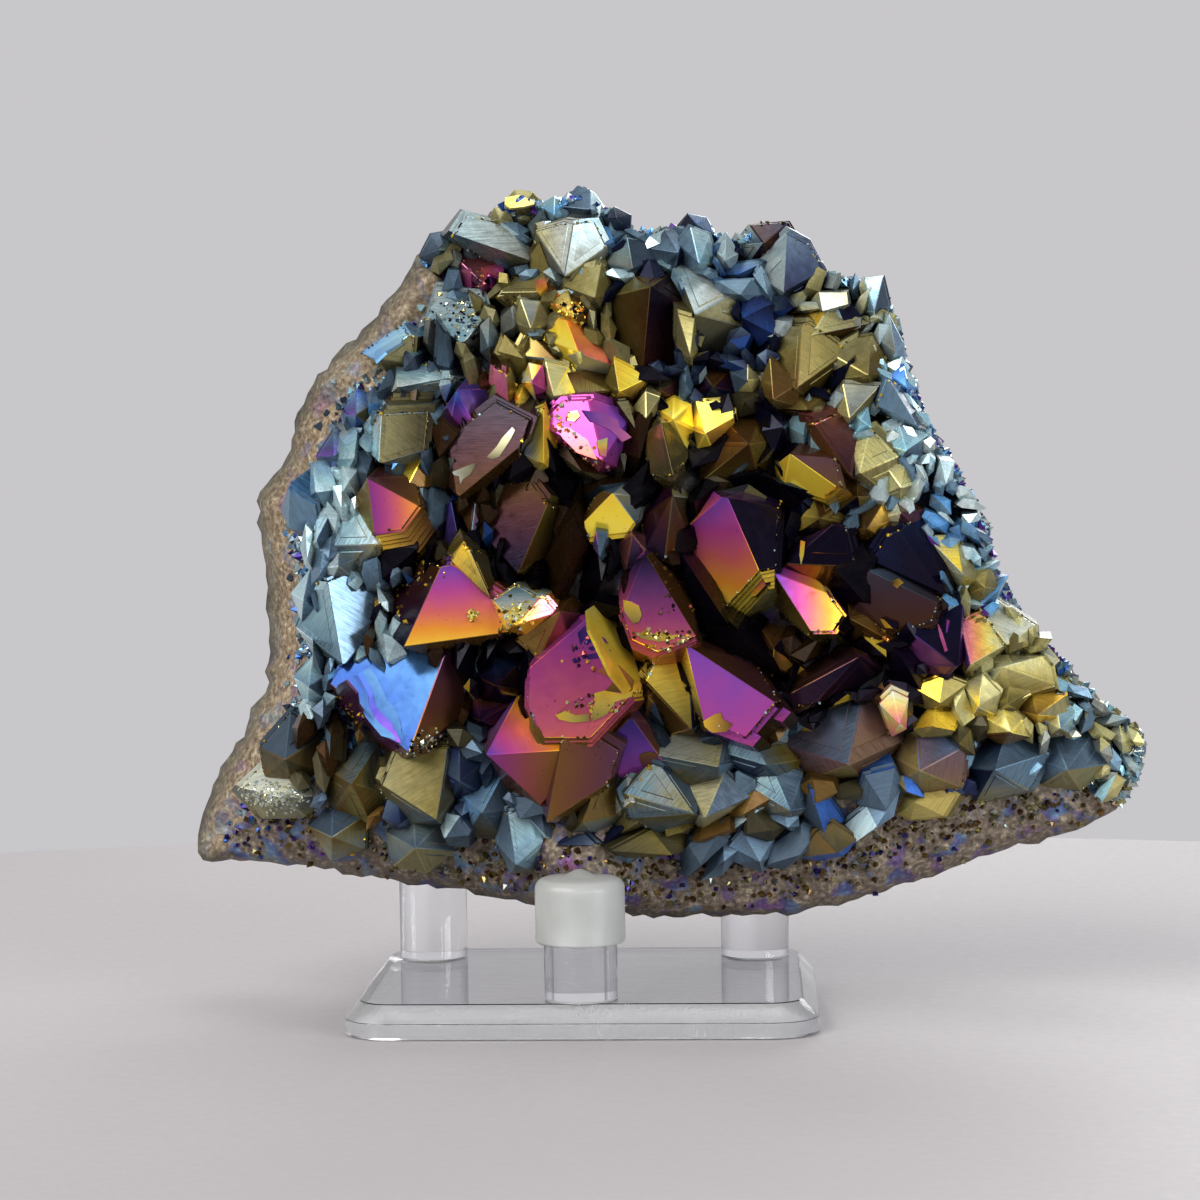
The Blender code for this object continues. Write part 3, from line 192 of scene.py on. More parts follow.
# %% distances from a closed ring of edges
FOOT_TOP, FOOT_LEFT, LEFT_SIDE = 36.0, -66.0, -28.0


def gaps_to(x, z, a, b):
    """Distance from (x, z) to each edge a to b, and the share of that edge where it is nearest."""
    run = (b - a)[:, :2]
    share = np.clip((((x, z) - a[:, :2]) * run).sum(1) / (run ** 2).sum(1), 0.0, 1.0)
    return np.hypot(*(a[:, :2] + run * share[:, None] - (x, z)).T), share


def in_ring(x, z, a, b):
    """Whether (x, z) lies inside the ring."""
    crosses = (a[:, 1] > z) != (b[:, 1] > z)
    slope = (b[:, 0] - a[:, 0]) / np.where(crosses, b[:, 1] - a[:, 1], 1.0)
    return bool((crosses & (x < slope * (z - a[:, 1]) + a[:, 0])).sum() % 2)


def inside_edge(x, z):
    return in_ring(x, z, EDGE_A, EDGE_B)


def edge_distance(x, z):
    """Distance to the outline, and the outline's Y and side at the nearest place."""
    gaps, share = gaps_to(x, z, EDGE_A, EDGE_B)
    k = int(gaps.argmin())
    near_x, near_z, near_y = EDGE_A[k] + (EDGE_B[k] - EDGE_A[k]) * share[k]
    side = "bottom" if near_z < FOOT_TOP and near_x > FOOT_LEFT else "left" if near_x < LEFT_SIDE else "other"
    return float(gaps[k]), float(near_y), side


# %% the level that the points reach
FACE_Y, FACE_X, FACE_Z = -28.0, 10.0, 75.0
SIDE_FALL, SIDE_SPAN = 14.0, 80.0
TOP_FALL, TOP_SPAN = 18.0, 70.0
FOOT_FALL, FOOT_SPAN = 7.0, 50.0


def face_depth(x, z):
    """Y of the bulging surface that the crystal points reach."""
    above = max(z - FACE_Z, 0.0)
    below = max(FACE_Z - z, 0.0)
    return (FACE_Y + SIDE_FALL * ((x - FACE_X) / SIDE_SPAN) ** 2 + TOP_FALL * (above / TOP_SPAN) ** 2
            + FOOT_FALL * (below / FOOT_SPAN) ** 2)


# %% the bed they stand on, and the rind
BED_DEPTH = 9.0
BACK_REACH, BACK_RUN, BACK_ROUND = 26.0, 56.0, 2.3
BACK_FALL, BACK_X, BACK_SPAN = 7.0, 5.0, 90.0
SIDE_RUN = {"left": 17.0, "bottom": 11.0, "other": 5.0}
RIM_THICK = {"left": 5.0, "bottom": 4.0, "other": 2.5}
RIM_BLUNT = 4.0
REST_X, REST_Z, REST_FORWARD, REST_SPREAD = 0.0, 28.0, 9.2, 7.7  # the knob that sits on the front cap
LEDGES = ((2.2, 7.0, 3.1), (1.2, 3.1, 8.7))  # (height, size, seed)
LUMPS = ((3.2, 17.0, 5.5), (1.6, 7.0, 1.5))
LEDGE_FADE, LUMP_FADE = 5.0, 8.0


def ripple(x, y, z, size, seed):
    """Smooth noise between about -1 and 1."""
    return noise.noise(Vector((x / size + seed, y / size, z / size)))


def waves(x, y, z, layers):
    return sum(height * ripple(x, y, z, size, seed) for height, size, seed in layers)


def rim_blunt(gap, side):
    """Half the thickness of the broken edge, rounded off at the outline."""
    return RIM_THICK[side] * math.sqrt(min(gap / RIM_BLUNT, 1.0))


def rock_front(x, z):
    """Y of the bed the crystals stand on, falling back to the outline through broken sides."""
    gap, edge_y, side = edge_distance(x, z)
    t = min(gap / SIDE_RUN[side], 1.0)
    t = t * t * (3 - 2 * t)
    bed = face_depth(x, z) + BED_DEPTH
    rest = -REST_FORWARD * math.exp(-((x - REST_X) ** 2 + (z - REST_Z) ** 2) / REST_SPREAD ** 2)
    ledge = waves(x, 0, z, LEDGES) * min(gap / LEDGE_FADE, 1.0)
    return edge_y - rim_blunt(gap, side) * (1 - t) + (bed - edge_y) * t + ledge + rest


def rock_back(x, z):
    """Y of the lumpy outer rind."""
    gap, edge_y, side = edge_distance(x, z)
    blunt = rim_blunt(gap, side)
    bulge = 1.0 - (1.0 - min(gap / BACK_RUN, 1.0)) ** BACK_ROUND
    reach = BACK_REACH - BACK_FALL * ((x - BACK_X) / BACK_SPAN) ** 2
    lump = waves(x, 9, z, LUMPS) * min(gap / LUMP_FADE, 1.0)
    return edge_y + blunt + (reach - edge_y - blunt) * bulge + lump


print("middle of the slab", round(rock_back(FACE_X, FACE_Z) - rock_front(FACE_X, FACE_Z), 1), "mm thick")


# %% [markdown]
# ## Colours of the film
#
# A tone is three numbers: where the film stands on its colour scale (0 silver, 20 gold, 46 magenta,
# 66 indigo, 82 sky, 96 ice, and round to silver again), how strongly the film shows against the smoky
# quartz under it, and how bright the facet is. That brightness is painted light: dark tones such as black,
# umber and navy are partly the smoky quartz's own dark tint and partly painted shade for facets that mirror
# the dim room, and the brightest, such as white and lemon, are painted highlights. A facet's paint is a
# tone, or two tones and the way the second one lies: a compass point with N for up, or below where none is
# given. Between the two the scale is followed the shorter way round, so violet to gold passes through
# magenta and copper as a real film does. A rule can be kept for facets that face one way, and such rules
# paint each side's light and shade.

# %% tones and ways
TONES = {
    "white": (2, 0.45, 1.0), "silver": (0, 0.9, 0.72), "straw": (9, 0.9, 0.66), "cream": (5, 0.8, 0.72),
    "lemon": (15, 1.0, 0.95), "gold": (20, 1.0, 0.85), "orange": (28, 1.0, 0.92), "rose": (37, 1.0, 0.62),
    "pink": (43, 0.85, 0.95), "magenta": (46, 1.0, 0.62), "purple": (51, 1.0, 0.4),
    "violet": (58, 1.0, 0.6), "indigo": (64, 1.0, 0.3), "blue": (73, 1.0, 0.5), "sky": (82, 1.0, 0.8),
    "cyan": (90, 0.95, 0.8), "ice": (96, 0.9, 0.8), "khaki": (12, 0.62, 0.32), "olive": (17, 0.8, 0.15),
    "bronze": (24, 0.85, 0.15), "umber": (27, 0.85, 0.06), "russet": (34, 0.8, 0.15),
    "plum": (48, 0.75, 0.12), "maroon": (42, 0.75, 0.055), "navy": (69, 0.95, 0.06),
    "black": (60, 0.9, 0.02), "slate": (82, 0.65, 0.17), "grey": (97, 0.3, 0.32),
    "smoke": (18, 0.35, 0.075), "teal": (88, 0.9, 0.16), "green": (10, 0.35, 0.42),
    "steel": (85, 0.75, 0.38), "brass": (17, 0.68, 0.3), "dusk": (57, 0.45, 0.075),
    "haze": (52, 0.45, 0.27), "clay": (27, 0.5, 0.25), "azure": (81, 1.0, 0.27), "lapis": (71, 1.0, 0.24),
}
WAYS = {"E": 0, "NE": 45, "N": 90, "NW": 135, "W": 180, "SW": 225, "S": 270, "SE": 315}


def read_paint(words):
    """Rules of (way or None, tone, tone, way): "violet>gold; E:black" has a plain one and one for E."""
    rules = []
    for part in words.split(";"):
        where, _, what = part.rpartition(":")
        tones, _, way = what.strip().partition(" ")
        first, _, last = tones.partition(">")
        rules.append((WAYS.get(where.strip()), TONES[first], TONES[last or first], WAYS.get(way, WAYS["S"])))
    return rules


# %% [markdown]
# ## The crystals
#
# Each quartz point is a six-sided prism closed by a faceted point, a little different every time. A row
# gives its name, its finish, how far it stands forward, which girdle corners share a facet, its tip and
# the corners of its girdle as X,Z, and its paint, whose brightness for each facing side is painted light
# and shade. They could be modelled by hand one at a time, but a cut solid is easier: the facets are
# planes, and the crystal is what lies behind all of them.

# %% the heart of the cluster
def crystal_rows(text):
    """Rows of (name, finish, out, flats, tip, ring, paint)."""
    rows = []
    for name, finish, out, flats, tip, ring, paint in table(text):
        flats = [tuple(map(int, pair.split("-"))) for pair in flats.split()]
        rows.append((name, finish, float(out), flats, places(tip)[0], places(ring), paint))
    return rows


HEART = crystal_rows("""
sky blue point|smooth|3|0-2 5-7|-29,48.8|-40.5,62.5 -31.2,66.5 -22.8,65.2 -17.8,57 -22.5,47.5 -33,45.5
 -45.5,56.5|lapis>azure NE; SW:bronze>plum NE; E:plum>bronze; SE:bronze>plum N; S:bronze
pink blade|smooth|2|0-2 2-4|-29.7,67.2|-35,71 -32.5,80 -21,80.5 -13.5,74 -14.5,69 -24,64.5|violet>gold;
 W:black>navy; NW:umber>black; S:bronze; NE:rose>bronze E
purple amber point|smooth|2|1-3|-35.5,96.2|-39,91 -34.7,87 -30.3,88.2 -27,91.5 -28.5,95.8
 -34,98|purple>orange E; W:bronze>olive; E:umber; NE:maroon>bronze E; S:purple>orange E; NW:bronze;
 SE:bronze>umber
silver wedge|lined|1||-34,84.7|-38.5,91.5 -33,91 -31.5,86 -34.5,80.5 -39,79.5 -42.5,84.5|ice>straw;
 S:khaki>slate; E:silver>straw; NW:steel>silver E; NE:silver>straw; SE:khaki; SW:slate>khaki E
striated block|lined|0|1-3|-40.5,64|-49,70 -44.5,77.5 -36,79 -34.2,71 -36,65 -45,61.5|steel>slate;
 W:steel>ice N; S:slate; E:slate>steel W; SE:navy>steel N; NE:steel>slate E
smoky chipped point|lined|1.5|1-4|-19.8,93|-24,96.5 -22,102 -14.5,106.5 -8.5,104.5 -10,99 -15,93
 -18.5,90.8|dusk>umber; W:dusk>umber; E:umber>black; N:dusk; NE:dusk>smoke E; SE:umber
bronze roof||-2||-29.3,94|-31,98 -26.5,99.5 -23.8,95 -26.5,92.6 -29.8,92.8|umber>bronze E; W:gold>lemon;
 NW:gold
blue sliver||-4||-21.5,92|-23.5,90 -23,84 -20,83.5 -19.5,91 -21.3,94|navy>black; N:blue; W:indigo>black
dark heart point||-2|0-3|-10,79.8|-16.5,86.5 -14.5,92.5 -8,93.5 -3.5,90 -2.5,84 -6,78.5
 -11.5,77.8|maroon>umber W; E:olive>umber; S:olive>umber E; W:black>umber N; N:umber>smoke NE
dark heart neighbour||-4||-18,86|-20.5,91.5 -17,93.5 -14,91 -15,85.5 -19,84|smoke>black; N:slate; W:umber
olive prism||0|1-3|-14.5,75.5|-20.5,81.5 -18.5,83.8 -15,81.5 -12.5,76 -14.5,73.5 -18,76.5|umber>olive;
 W:olive>gold N; E:smoke>umber; N:olive
gold grain||-0.5||-18,71.5|-20.3,76.5 -17.5,77.2 -14.8,74 -15.2,70.5 -18.5,69|gold>lemon E; E:lemon>white E;
 W:bronze>gold N; S:bronze
gold sparkle||2|0-2|-10,70.8|-14,74.5 -10.3,76.5 -5.5,74.8 -3.8,72.6 -8.5,69 -12.5,70|lemon>gold W;
 E:pink>orange W; NW:gold>lemon E; W:lemon; S:gold>orange E; N:teal>gold; NE:rose>gold
russet roof||-1||-2.5,73|-9.5,68.5 -5,74.3 -1,75 2,71.5 -1,67 -6,65.5|russet>umber W; E:plum>russet W;
 N:umber; SW:bronze
great magenta point|smooth|3|0-4 4-6|2.2,71.3|-7,64.5 -7,57.5 -4.5,54 2.5,53.5 10,58.8 10.6,65 5.5,74.3
 -1,71.5|purple>magenta; NE:pink>gold; N:purple>magenta; W:purple>rose; E:gold>bronze; S:rose>gold;
 SE:rose>gold SE
violet gold wedge|smooth|2|1-3 3-5|-15.5,48.5|-17.5,53 -10.3,57 -4,52 -2.2,49.2 -3,45 -6.8,40
 -12,41.5|violet>gold NE; S:purple>bronze E; W:violet>plum; E:umber>bronze N; SE:bronze; SW:plum>bronze
bronze lozenge|smooth|2.5|1-4|-5.3,36.8|-7,40.5 -2.8,50 0.5,51.5 5.8,47.5 4.5,42.5 0,37.5
 -3,35.5|plum>maroon; E:plum>bronze W; W:umber>plum; S:bronze; N:bronze>olive N
violet shield|smooth|1|1-4|9.5,54.4|3,53 3.2,50.5 7.5,45 11,45 14.8,47.5 13.5,52.5 9.5,57.8
 4.5,56|indigo>purple; NW:umber>plum; E:bronze>plum W; N:umber>bronze N; W:umber
violet triangle|smooth|2.5|0-2 2-4|18.9,67.3|15.8,65 18.5,58 22.3,54.3 28,53 33.5,57.8 30,63
 21.5,68.8|violet>magenta; W:gold>olive; SW:violet>magenta; E:maroon>black E; N:umber>maroon E;
 NE:umber>maroon E; SE:umber
great purple point|smooth|3|0-4 4-6|25.8,92|18.8,87 20.2,81 23.8,76.2 33.2,75.4 33.8,80 38,82 38.5,89 33,93
 22,93.8|violet>gold; E:black>navy N; SE:navy>black; S:gold>straw; N:plum>black E; NE:black
magenta dart|smooth|1|1-4|34.2,79|33.5,74 39.8,69 43.2,70 44.5,72.5 42.3,76.2 38,80.8|violet>gold E;
 NE:violet>gold E; W:umber>olive; SW:umber>olive; S:olive; E:black; N:black
plum point|smooth|0.5|1-4 4-6|12.3,82.5|8,80 8,74 10,69.5 14,67.8 20.3,69 19,76 15,82.5 11,84.5|maroon>rose;
 E:black>maroon W; N:black>indigo W; W:black>rose; S:rose>gold; NE:umber; SW:orange>gold
yellow triangle|smooth|1|0-3|6.8,93|1.8,88.5 3,86.3 8.8,86.9 10.6,88.8 11.3,92 9,94.8 4.5,93|gold>straw E;
 E:khaki>slate; S:gold>lemon; N:slate; W:bronze>gold E; NW:bronze; NE:grey
rainbow chip||-2||4.4,82|3.2,84 3.8,86.4 5.7,86 5.6,82.6 4.6,80.8|slate>teal; W:rose>slate; E:slate
dark rose chip||-2||10,86|7.3,84 9,87.3 13.5,85 13,81.5 9,80.8|maroon>russet E; S:plum>black
umber point||-1|0-2|17,92.5|12,88 13,94 16.5,96.5 20.3,91.5 19,85.5 15.5,82.5 12.5,84|black>umber N;
 N:khaki>olive E; NE:khaki>grey N; W:umber>black; E:smoke>umber
amber grey point||1.5|0-2 2-4|15.2,105|12.3,103 13.3,97.5 17,96 19.6,101 17,105.2 14,106.3|brass>smoke;
 W:bronze>smoke SE; E:smoke>olive N; NE:khaki
lemon dart|smooth|1||17.2,105.5|15,104.5 19.2,101 20.4,104 20,107.8 17.3,108.8 14.6,107.4|lemon>gold N;
 W:gold; S:lemon
lemon blade|smooth|1|1-3|22.7,103|20,104.2 21,108 26.8,108.2 27.2,104.8 24,100 20.8,99.5|lemon>gold;
 W:olive>gold; E:gold>umber; N:lemon
bronze dome||0.5|4-6|30,101|22.8,101 25,105.8 32,106.5 35,101.5 32,95.3 26,93.2 22.3,96.3|bronze>umber N;
 S:umber>olive; W:umber>bronze N; E:olive>bronze; N:umber
bright gold point|smooth|2|1-3|37,99.3|35,97 36.3,94.3 41.8,92.6 45,94 44,98.5 40,101.5|lemon;
 SW:lemon>gold; N:umber>maroon N; NE:umber>maroon N; E:umber; S:gold>orange E; W:gold
red brown point||0.5|0-2|47.6,95.2|41,103.8 46,104.8 48.9,101 49.2,94.2 45,92.6 41.8,97.5|russet>umber;
 W:bronze>russet N; E:russet>maroon; N:russet>rose W; S:umber
bright magenta point|smooth|2.5|0-2 3-5|5.2,98.6|-4.8,104.8 -1,108 3.5,108.5 8.5,106.7 10.6,103 8.2,97
 3.5,95.8|purple>magenta; E:violet>magenta; SW:purple>rose; N:magenta; NE:violet>magenta W;
 NW:magenta>purple; W:magenta>violet E; S:purple>rose E
blue gold slab||1|0-2|-5,98.3|-9.8,100.5 -7.8,105.5 -4.8,107.2 -3.3,102 -3.6,97 -7,96.6|gold>olive N;
 W:steel>gold E; S:gold>straw; E:gold; N:olive
gold nib||1||-9.3,109.5|-11.8,105.2 -10.6,111 -8.6,112 -7,107.5 -8.5,104.3|gold>lemon N; W:orange;
 E:gold>olive
rose strip||0|0-2|-11,105|-15,105.8 -13.4,113.3 -10.8,113.5 -9,108 -10,104|olive>umber E; W:pink>rose;
 NW:pink; N:umber
peach nib||2||-7,112.2|-8.8,112.3 -7.6,115.3 -5.4,114.8 -4.8,111 -6.5,109.3|rose>cream W; W:orange>white;
 E:magenta
blue violet dart|smooth|1|2-4|-20,111|-23,107 -21.5,104.8 -18.3,104.8 -14.2,107 -14.8,111.5
 -18,114|black>indigo N; W:blue>pink; E:indigo>plum; NE:plum>indigo; S:blue>magenta; NW:sky>violet
orange pink point|smooth|3|0-1 1-4|1.2,117.2|-4.6,119.8 -2.2,122.8 2.3,121.8 5.5,118.3 7.3,114.2
 0,113.6|orange>lemon; E:rose>pink N; W:gold>lemon; N:orange; S:lemon>white; NE:orange>rose; SE:pink>orange
 N
dark striped block|lined|-1|0-2|6.3,110.5|-0.5,113.5 4,114.3 7.5,112.3 7.3,108.5 3,107.6 0,110|umber>olive;
 E:olive; S:khaki>umber N
yellow dart||1.5||8,110.3|7.2,115.5 12.5,112.6 10.2,109.2 7,108.3 5.8,112|gold>lemon E; W:olive;
 S:bronze>gold N
straw chip||0||12.5,105.8|10.4,107.5 12.5,110 14.7,109.2 14.2,106.4 12.5,104.5|straw>khaki W; E:khaki
straw block||0.5||-3.3,109.8|-5.7,111 -4.6,115.3 -1,114.3 1.3,110.5 -1.3,108.7 -4.5,108.5|straw>steel;
 E:gold>straw W; W:khaki>straw N; N:straw
olive shadow||-2||-3,116|-10,117 -8,121 -4.3,119.8 0.3,115 -4,113.6 -9,114.3|olive>umber; N:khaki>umber E;
 W:slate
dark gate||-2||24,111|19.3,110 21.3,115 27.5,114.5 30.3,109.5 26,107.2 21,107|black>umber W; N:umber;
 S:navy>slate; E:umber>black
dark olive gate||-2||15,110.5|10.8,110.5 14.3,114.3 19.2,113 19.2,108.3 14.5,107.5|olive>black;
 E:plum>umber; N:smoke
khaki chip||0||30,112|27.2,113.5 30,115.8 32.2,112.2 31.2,109.2 28,110.2|khaki>straw N; W:slate
gold blue fan||-1|0-2|19.8,52.5|12,60 15.5,64.2 19.6,61 22.6,54 20,50.3 14.5,51|umber>gold; E:steel>navy;
 W:umber>bronze; N:steel>gold; NE:olive>gold N; S:gold>umber N
brown chip||-2||12.3,58|10.2,59 12.5,62.3 15.2,59.8 15.2,54.3 11.5,53.2|umber>bronze N; E:bronze; W:umber
teal shadow||-3||-14,60|-19.7,62 -15,66.8 -9,64.8 -8.2,58.3 -12,55.2 -18,55.8|black>umber; N:teal>black;
 S:black; E:black>smoke N
shadow under blades||-3||-17,54|-21.5,55 -18,58 -11.5,56.5 -12,51.5 -18,50.5|black>umber; N:bronze>black
great dark roof||-1.5|0-2 4-6|48.5,64.5|34,55 37.5,64 46,68 54.5,65 55.5,58 47,56.8 38,52.2|black>umber E;
 N:umber>maroon E; S:black>maroon W; W:umber>bronze; NE:maroon>plum E
dark gold roof||-2||34,66|27.3,66 31,70.5 37,69 38.8,62.3 33.3,58.7|umber>bronze N; E:black; S:umber>gold E;
 W:black>umber E
bronze shadow||-2||47,71|44.3,72.5 47,75.5 52.5,71.5 55,66.3 49,65.6 44,67.8|umber>bronze N; W:black;
 S:umber
plum shadow||-2|0-2|36,80.5|33.6,80.5 39,87 45.8,86.3 47.3,80 43.5,76.2 37,77.3|black>plum N; W:maroon;
 E:black; S:umber
olive band||-1||42,88.3|37.3,89 41,93.3 47.3,91.3 48,86.8 43,84.8 38.3,85.8|olive>umber E; N:umber;
 W:gold>olive E
brown wedge||-1||50,86.3|46.3,86 49,91 54,92 56.3,88 54.2,83.8 48.5,82.8|umber>bronze N; E:bronze>gold N
dark olive wedge||0||48.5,91.8|43.8,92 48.6,95.9 52.3,91.6 49,88.2 44.3,88.5|olive>umber; S:black
grey violet point|smooth|1|1-4|50.5,79|46.8,76 47.5,71 54,69.3 60,71.3 61.7,74 56.8,78.8
 50.3,81.8|dusk>umber; N:slate>dusk E; E:maroon>umber; S:dusk>umber; W:maroon>dusk N
black point||1|0-2 4-6|63,75|54.5,84.8 60,87 64.8,81.8 67.3,75.5 62.5,72.5 57,75.2 52,81|black>navy W;
 N:navy>black; E:black>navy N; S:black
navy point|smooth|1.5|0-2 3-5|65.5,62.5|57,67.5 59.3,72.3 66.5,73.5 68,66 67.2,60.8 61,58.8
 57.3,63.3|black>navy N; W:indigo>black; S:purple>plum E; SW:purple>plum E; E:black>indigo N; N:navy>black
""")
print("heart", len(HEART), "crystals")

# %% the crown
CROWN = crystal_rows("""
gold crust||1||0.5,123|-4,126 -1,127.8 3,125.3 3.5,121.6 -1,120.8|brass>gold; E:bronze; W:gold
orange plate||1.5|0-2|3.8,126.8|-1.5,128.5 0.3,132 5,132.3 6.7,128 5,124.3 1,124.8|brass>straw E; S:khaki;
 E:brass
olive gold block||1.5|0-2|-5.5,128|-12.7,127.5 -9,131.6 -3.5,131.3 -1.6,128 -5,125.2 -10,125.2|brass>khaki
 W; E:russet>bronze; S:brass>khaki E; W:straw>khaki
pale barrel||1||-7.3,121.5|-10.2,123 -9,126.3 -6,126 -4.3,122.5 -6,120 -9,120.2|cream>grey; W:straw>khaki;
 E:khaki
great pale point||2.5|2-4|-1.5,130.6|-7.3,134.5 -6,138.5 -1,139.6 3,139.2 5.2,135.5 4.7,131.2|grey>steel;
 W:khaki>grey E; E:ice>grey; N:grey>slate E; NW:slate>khaki E; S:olive>khaki N; NE:ice>steel;
 SE:silver>khaki
grey ridge|lined|1|0-2|-8,133.8|-20,137.5 -17.5,140.8 -11,139.3 -6.8,137.3 -6.6,132.3 -11,131.3
 -15,134|grey>steel E; W:slate>grey E; S:steel>khaki E; N:ice>grey E
honey knob||1||-9.5,143|-12.8,144 -10.5,146.3 -7.8,145.9 -6,144 -8,141.8 -11,141.6|straw>khaki; E:brass;
 S:khaki>olive
honey chip||1||-13,141|-15.7,141 -14,143.3 -12,142.8 -11,140.5 -13,138.3|straw>khaki
steel point||1|0-2|2.8,142.6|-2.4,143 0.5,146.8 3.2,145.5 5.7,142 3,139.6 -0.5,140.3|slate>steel E;
 E:ice>steel; S:slate
ice chip||1||-3.5,141.6|-6.2,143.5 -3.5,144.9 -1.8,142.6 -1.3,139.8 -4.5,139.2|ice>sky
slate chip||0.5||7.5,140.8|5,141 7,142.9 9.7,141.5 9.5,138.6 6.5,138|slate>navy
grey point||1|1-3|10.3,131.8|6,133 9,137 12,136.4 14,133.5 11.5,130.2 7,130|grey>cyan N; S:slate>khaki;
 E:slate; W:steel>grey
slate point||0.5||18.3,134.5|13.6,135.5 16,138.4 19.5,138 20.2,133.5 17,130.7 14.5,132.2|slate>steel; E:navy
ice point||1.5||21.8,132.4|18.4,136 20.5,138.4 23.3,137.3 24.5,133 22.3,130.5 19.6,131.8|ice>cyan; W:steel
blue crest||0||21.5,139.5|17.8,138.5 20,141.5 23,140.8 24.7,137.5 21.5,136.2|steel>blue; W:navy
ice bead||0||26.3,133|24.3,135.5 26.5,137.8 28.5,134.5 27.6,131.5 25,131.8|ice
great olive point||2.5|0-2 2-4|13.6,128.3|5,127 6.5,118.5 11,113.5 18.5,114 21,124 17.5,131.5
 8,131.5|umber>olive; W:olive>umber E; N:olive>umber E; E:umber>black N; S:olive>umber; NW:khaki>olive SE
pale green point||2|0-2 3-5|21,123.5|18,132 22.5,130.8 28,126.8 29.2,122 25.5,117.8 21.3,116
 19,122|khaki>grey N; E:cream>khaki; W:grey>khaki; N:ice>grey E; S:green>khaki; SE:khaki>grey
straw strip||2||20.2,116.2|18,118 18.3,123 20.9,122.2 21.3,117.5 20.5,114.5 18.6,115.2|straw>brass N;
 N:brass; W:khaki
navy crown point||1|1-3|36.5,127.3|31.3,131.5 37,136.9 40.7,134.8 42.8,131 39.5,125.6 35.3,125.4|slate>navy;
 W:ice>silver; E:navy>slate N; S:black>slate N; SW:ice>silver
dark crest||0||33,136|28.2,136 31,139.3 37,139.6 39.2,136 35,133.2 30,132.2|umber>navy E; W:silver>slate
magenta hollow point||-1|0-2|-16,130|-21.5,134 -17,136.8 -12.3,133.7 -12,129 -16.5,126.2
 -21.2,129.3|maroon>magenta; E:maroon>black; W:pink>plum E; N:maroon>rose E; S:magenta>pink
speckled slab|lined|0.5|0-3|-19.5,119.7|-25.5,122.5 -23.8,128.2 -17,127.8 -15,123 -16,118.7
 -21,116.8|silver>cyan; E:straw>grey W; W:ice; S:grey>slate
steel rim point||0||-24,136|-27.5,135 -25.5,138.6 -21.5,139.2 -21,136 -24.5,133.2|steel>slate; E:ice
olive grey point||2|0-2 3-5|38.4,110.4|33,114.8 34.6,120 40.5,120.8 45.6,117.2 46,112.5 41,108.2
 34.5,107.7|brass>bronze; E:olive>bronze; W:bronze>brass; N:olive>bronze; NE:brass>olive E; S:bronze>brass
 N; NW:khaki>bronze
gold foot||2||34.3,108.6|31.8,110 34,115.2 38.4,111.3 38.3,107.8 34.5,106.7|brass>bronze; E:bronze
honey octagon||2.5|0-2|50.6,112.6|45.3,115.5 47.8,118.3 51.3,118.9 54.5,113.5 52,109.7 48.5,109.6
 45.3,112.3|brass>gold N; E:brass>bronze; W:straw>brass E; S:bronze>brass N; N:khaki>brass
pale gold roof||1|0-2|41,119.6|35.8,121.3 39,124.3 45,124.4 50.3,121.7 46,119 40.5,117.6|straw>grey E;
 W:orange>gold N; E:khaki>grey N; N:straw>khaki E; NW:gold>orange W; S:bronze
cream foot||1.5||47.3,105.3|44.2,107 46.5,110.8 52,110.3 50.3,105.8 47,103.2|cream>grey; W:straw; E:khaki
brown gold step||0||40,106.8|33.2,107.5 38,109.9 43.8,110 44.3,106 38,104.7|bronze>brass E; S:umber
""")
print("crown", len(CROWN), "crystals")

# %% the flanks, the right rim and the skirt
FLANK = crystal_rows("""
white sliver||0||-39.3,95.5|-42,92 -41,98.8 -38,98 -38,92.8|silver>ice
silver striped prism|lined|2|1-3|-33.5,98.8|-36.5,101.5 -33.5,107 -26.5,106 -26,100.3
 -29.5,97.7|silver>steel; W:silver>cyan; S:slate>khaki; E:smoke>khaki N; NE:khaki>smoke E; N:grey>slate E
sky strip||0.5|0-2|-34.5,116.8|-37.3,118 -31.5,121.8 -28.2,120 -28.8,116.3 -33,114.7|smoke>umber E;
 N:sky>cyan E; W:sky; S:khaki
silver bar|lined|1|1-3|-30.5,111.8|-33,110.5 -31.3,114.8 -27.5,115.6 -21.8,113 -24.5,110.3
 -29.5,108.8|ice>cream E; S:slate>khaki E; N:steel>silver
blue scale||0||-45,85.5|-47.5,84 -45.5,90 -42,92 -42,86 -44.5,81|steel>blue; W:ice; E:slate
blue grain||0||-47.5,75|-50,76 -47,79.5 -44.3,77.5 -45,72.5 -48.5,71.5|steel>slate; W:ice
ice grain||0||-47,60|-50,61 -47,64 -43.5,62 -44,57 -48,56|ice>steel; E:slate
blue shard||0||-38,107|-41,107 -38.5,111 -34.8,109.5 -35,104.5 -39,103|blue>slate; E:smoke; W:steel>violet
violet grain||0||-42,100|-45,100 -42.5,103.8 -39.3,102.5 -40,98 -43.5,96.8|violet>slate N; E:slate
silver tuft||0.5||-41,81|-44.5,80.5 -41.5,84 -37.5,82.5 -38.5,78.3 -43,77.5|grey>slate; W:silver
""")
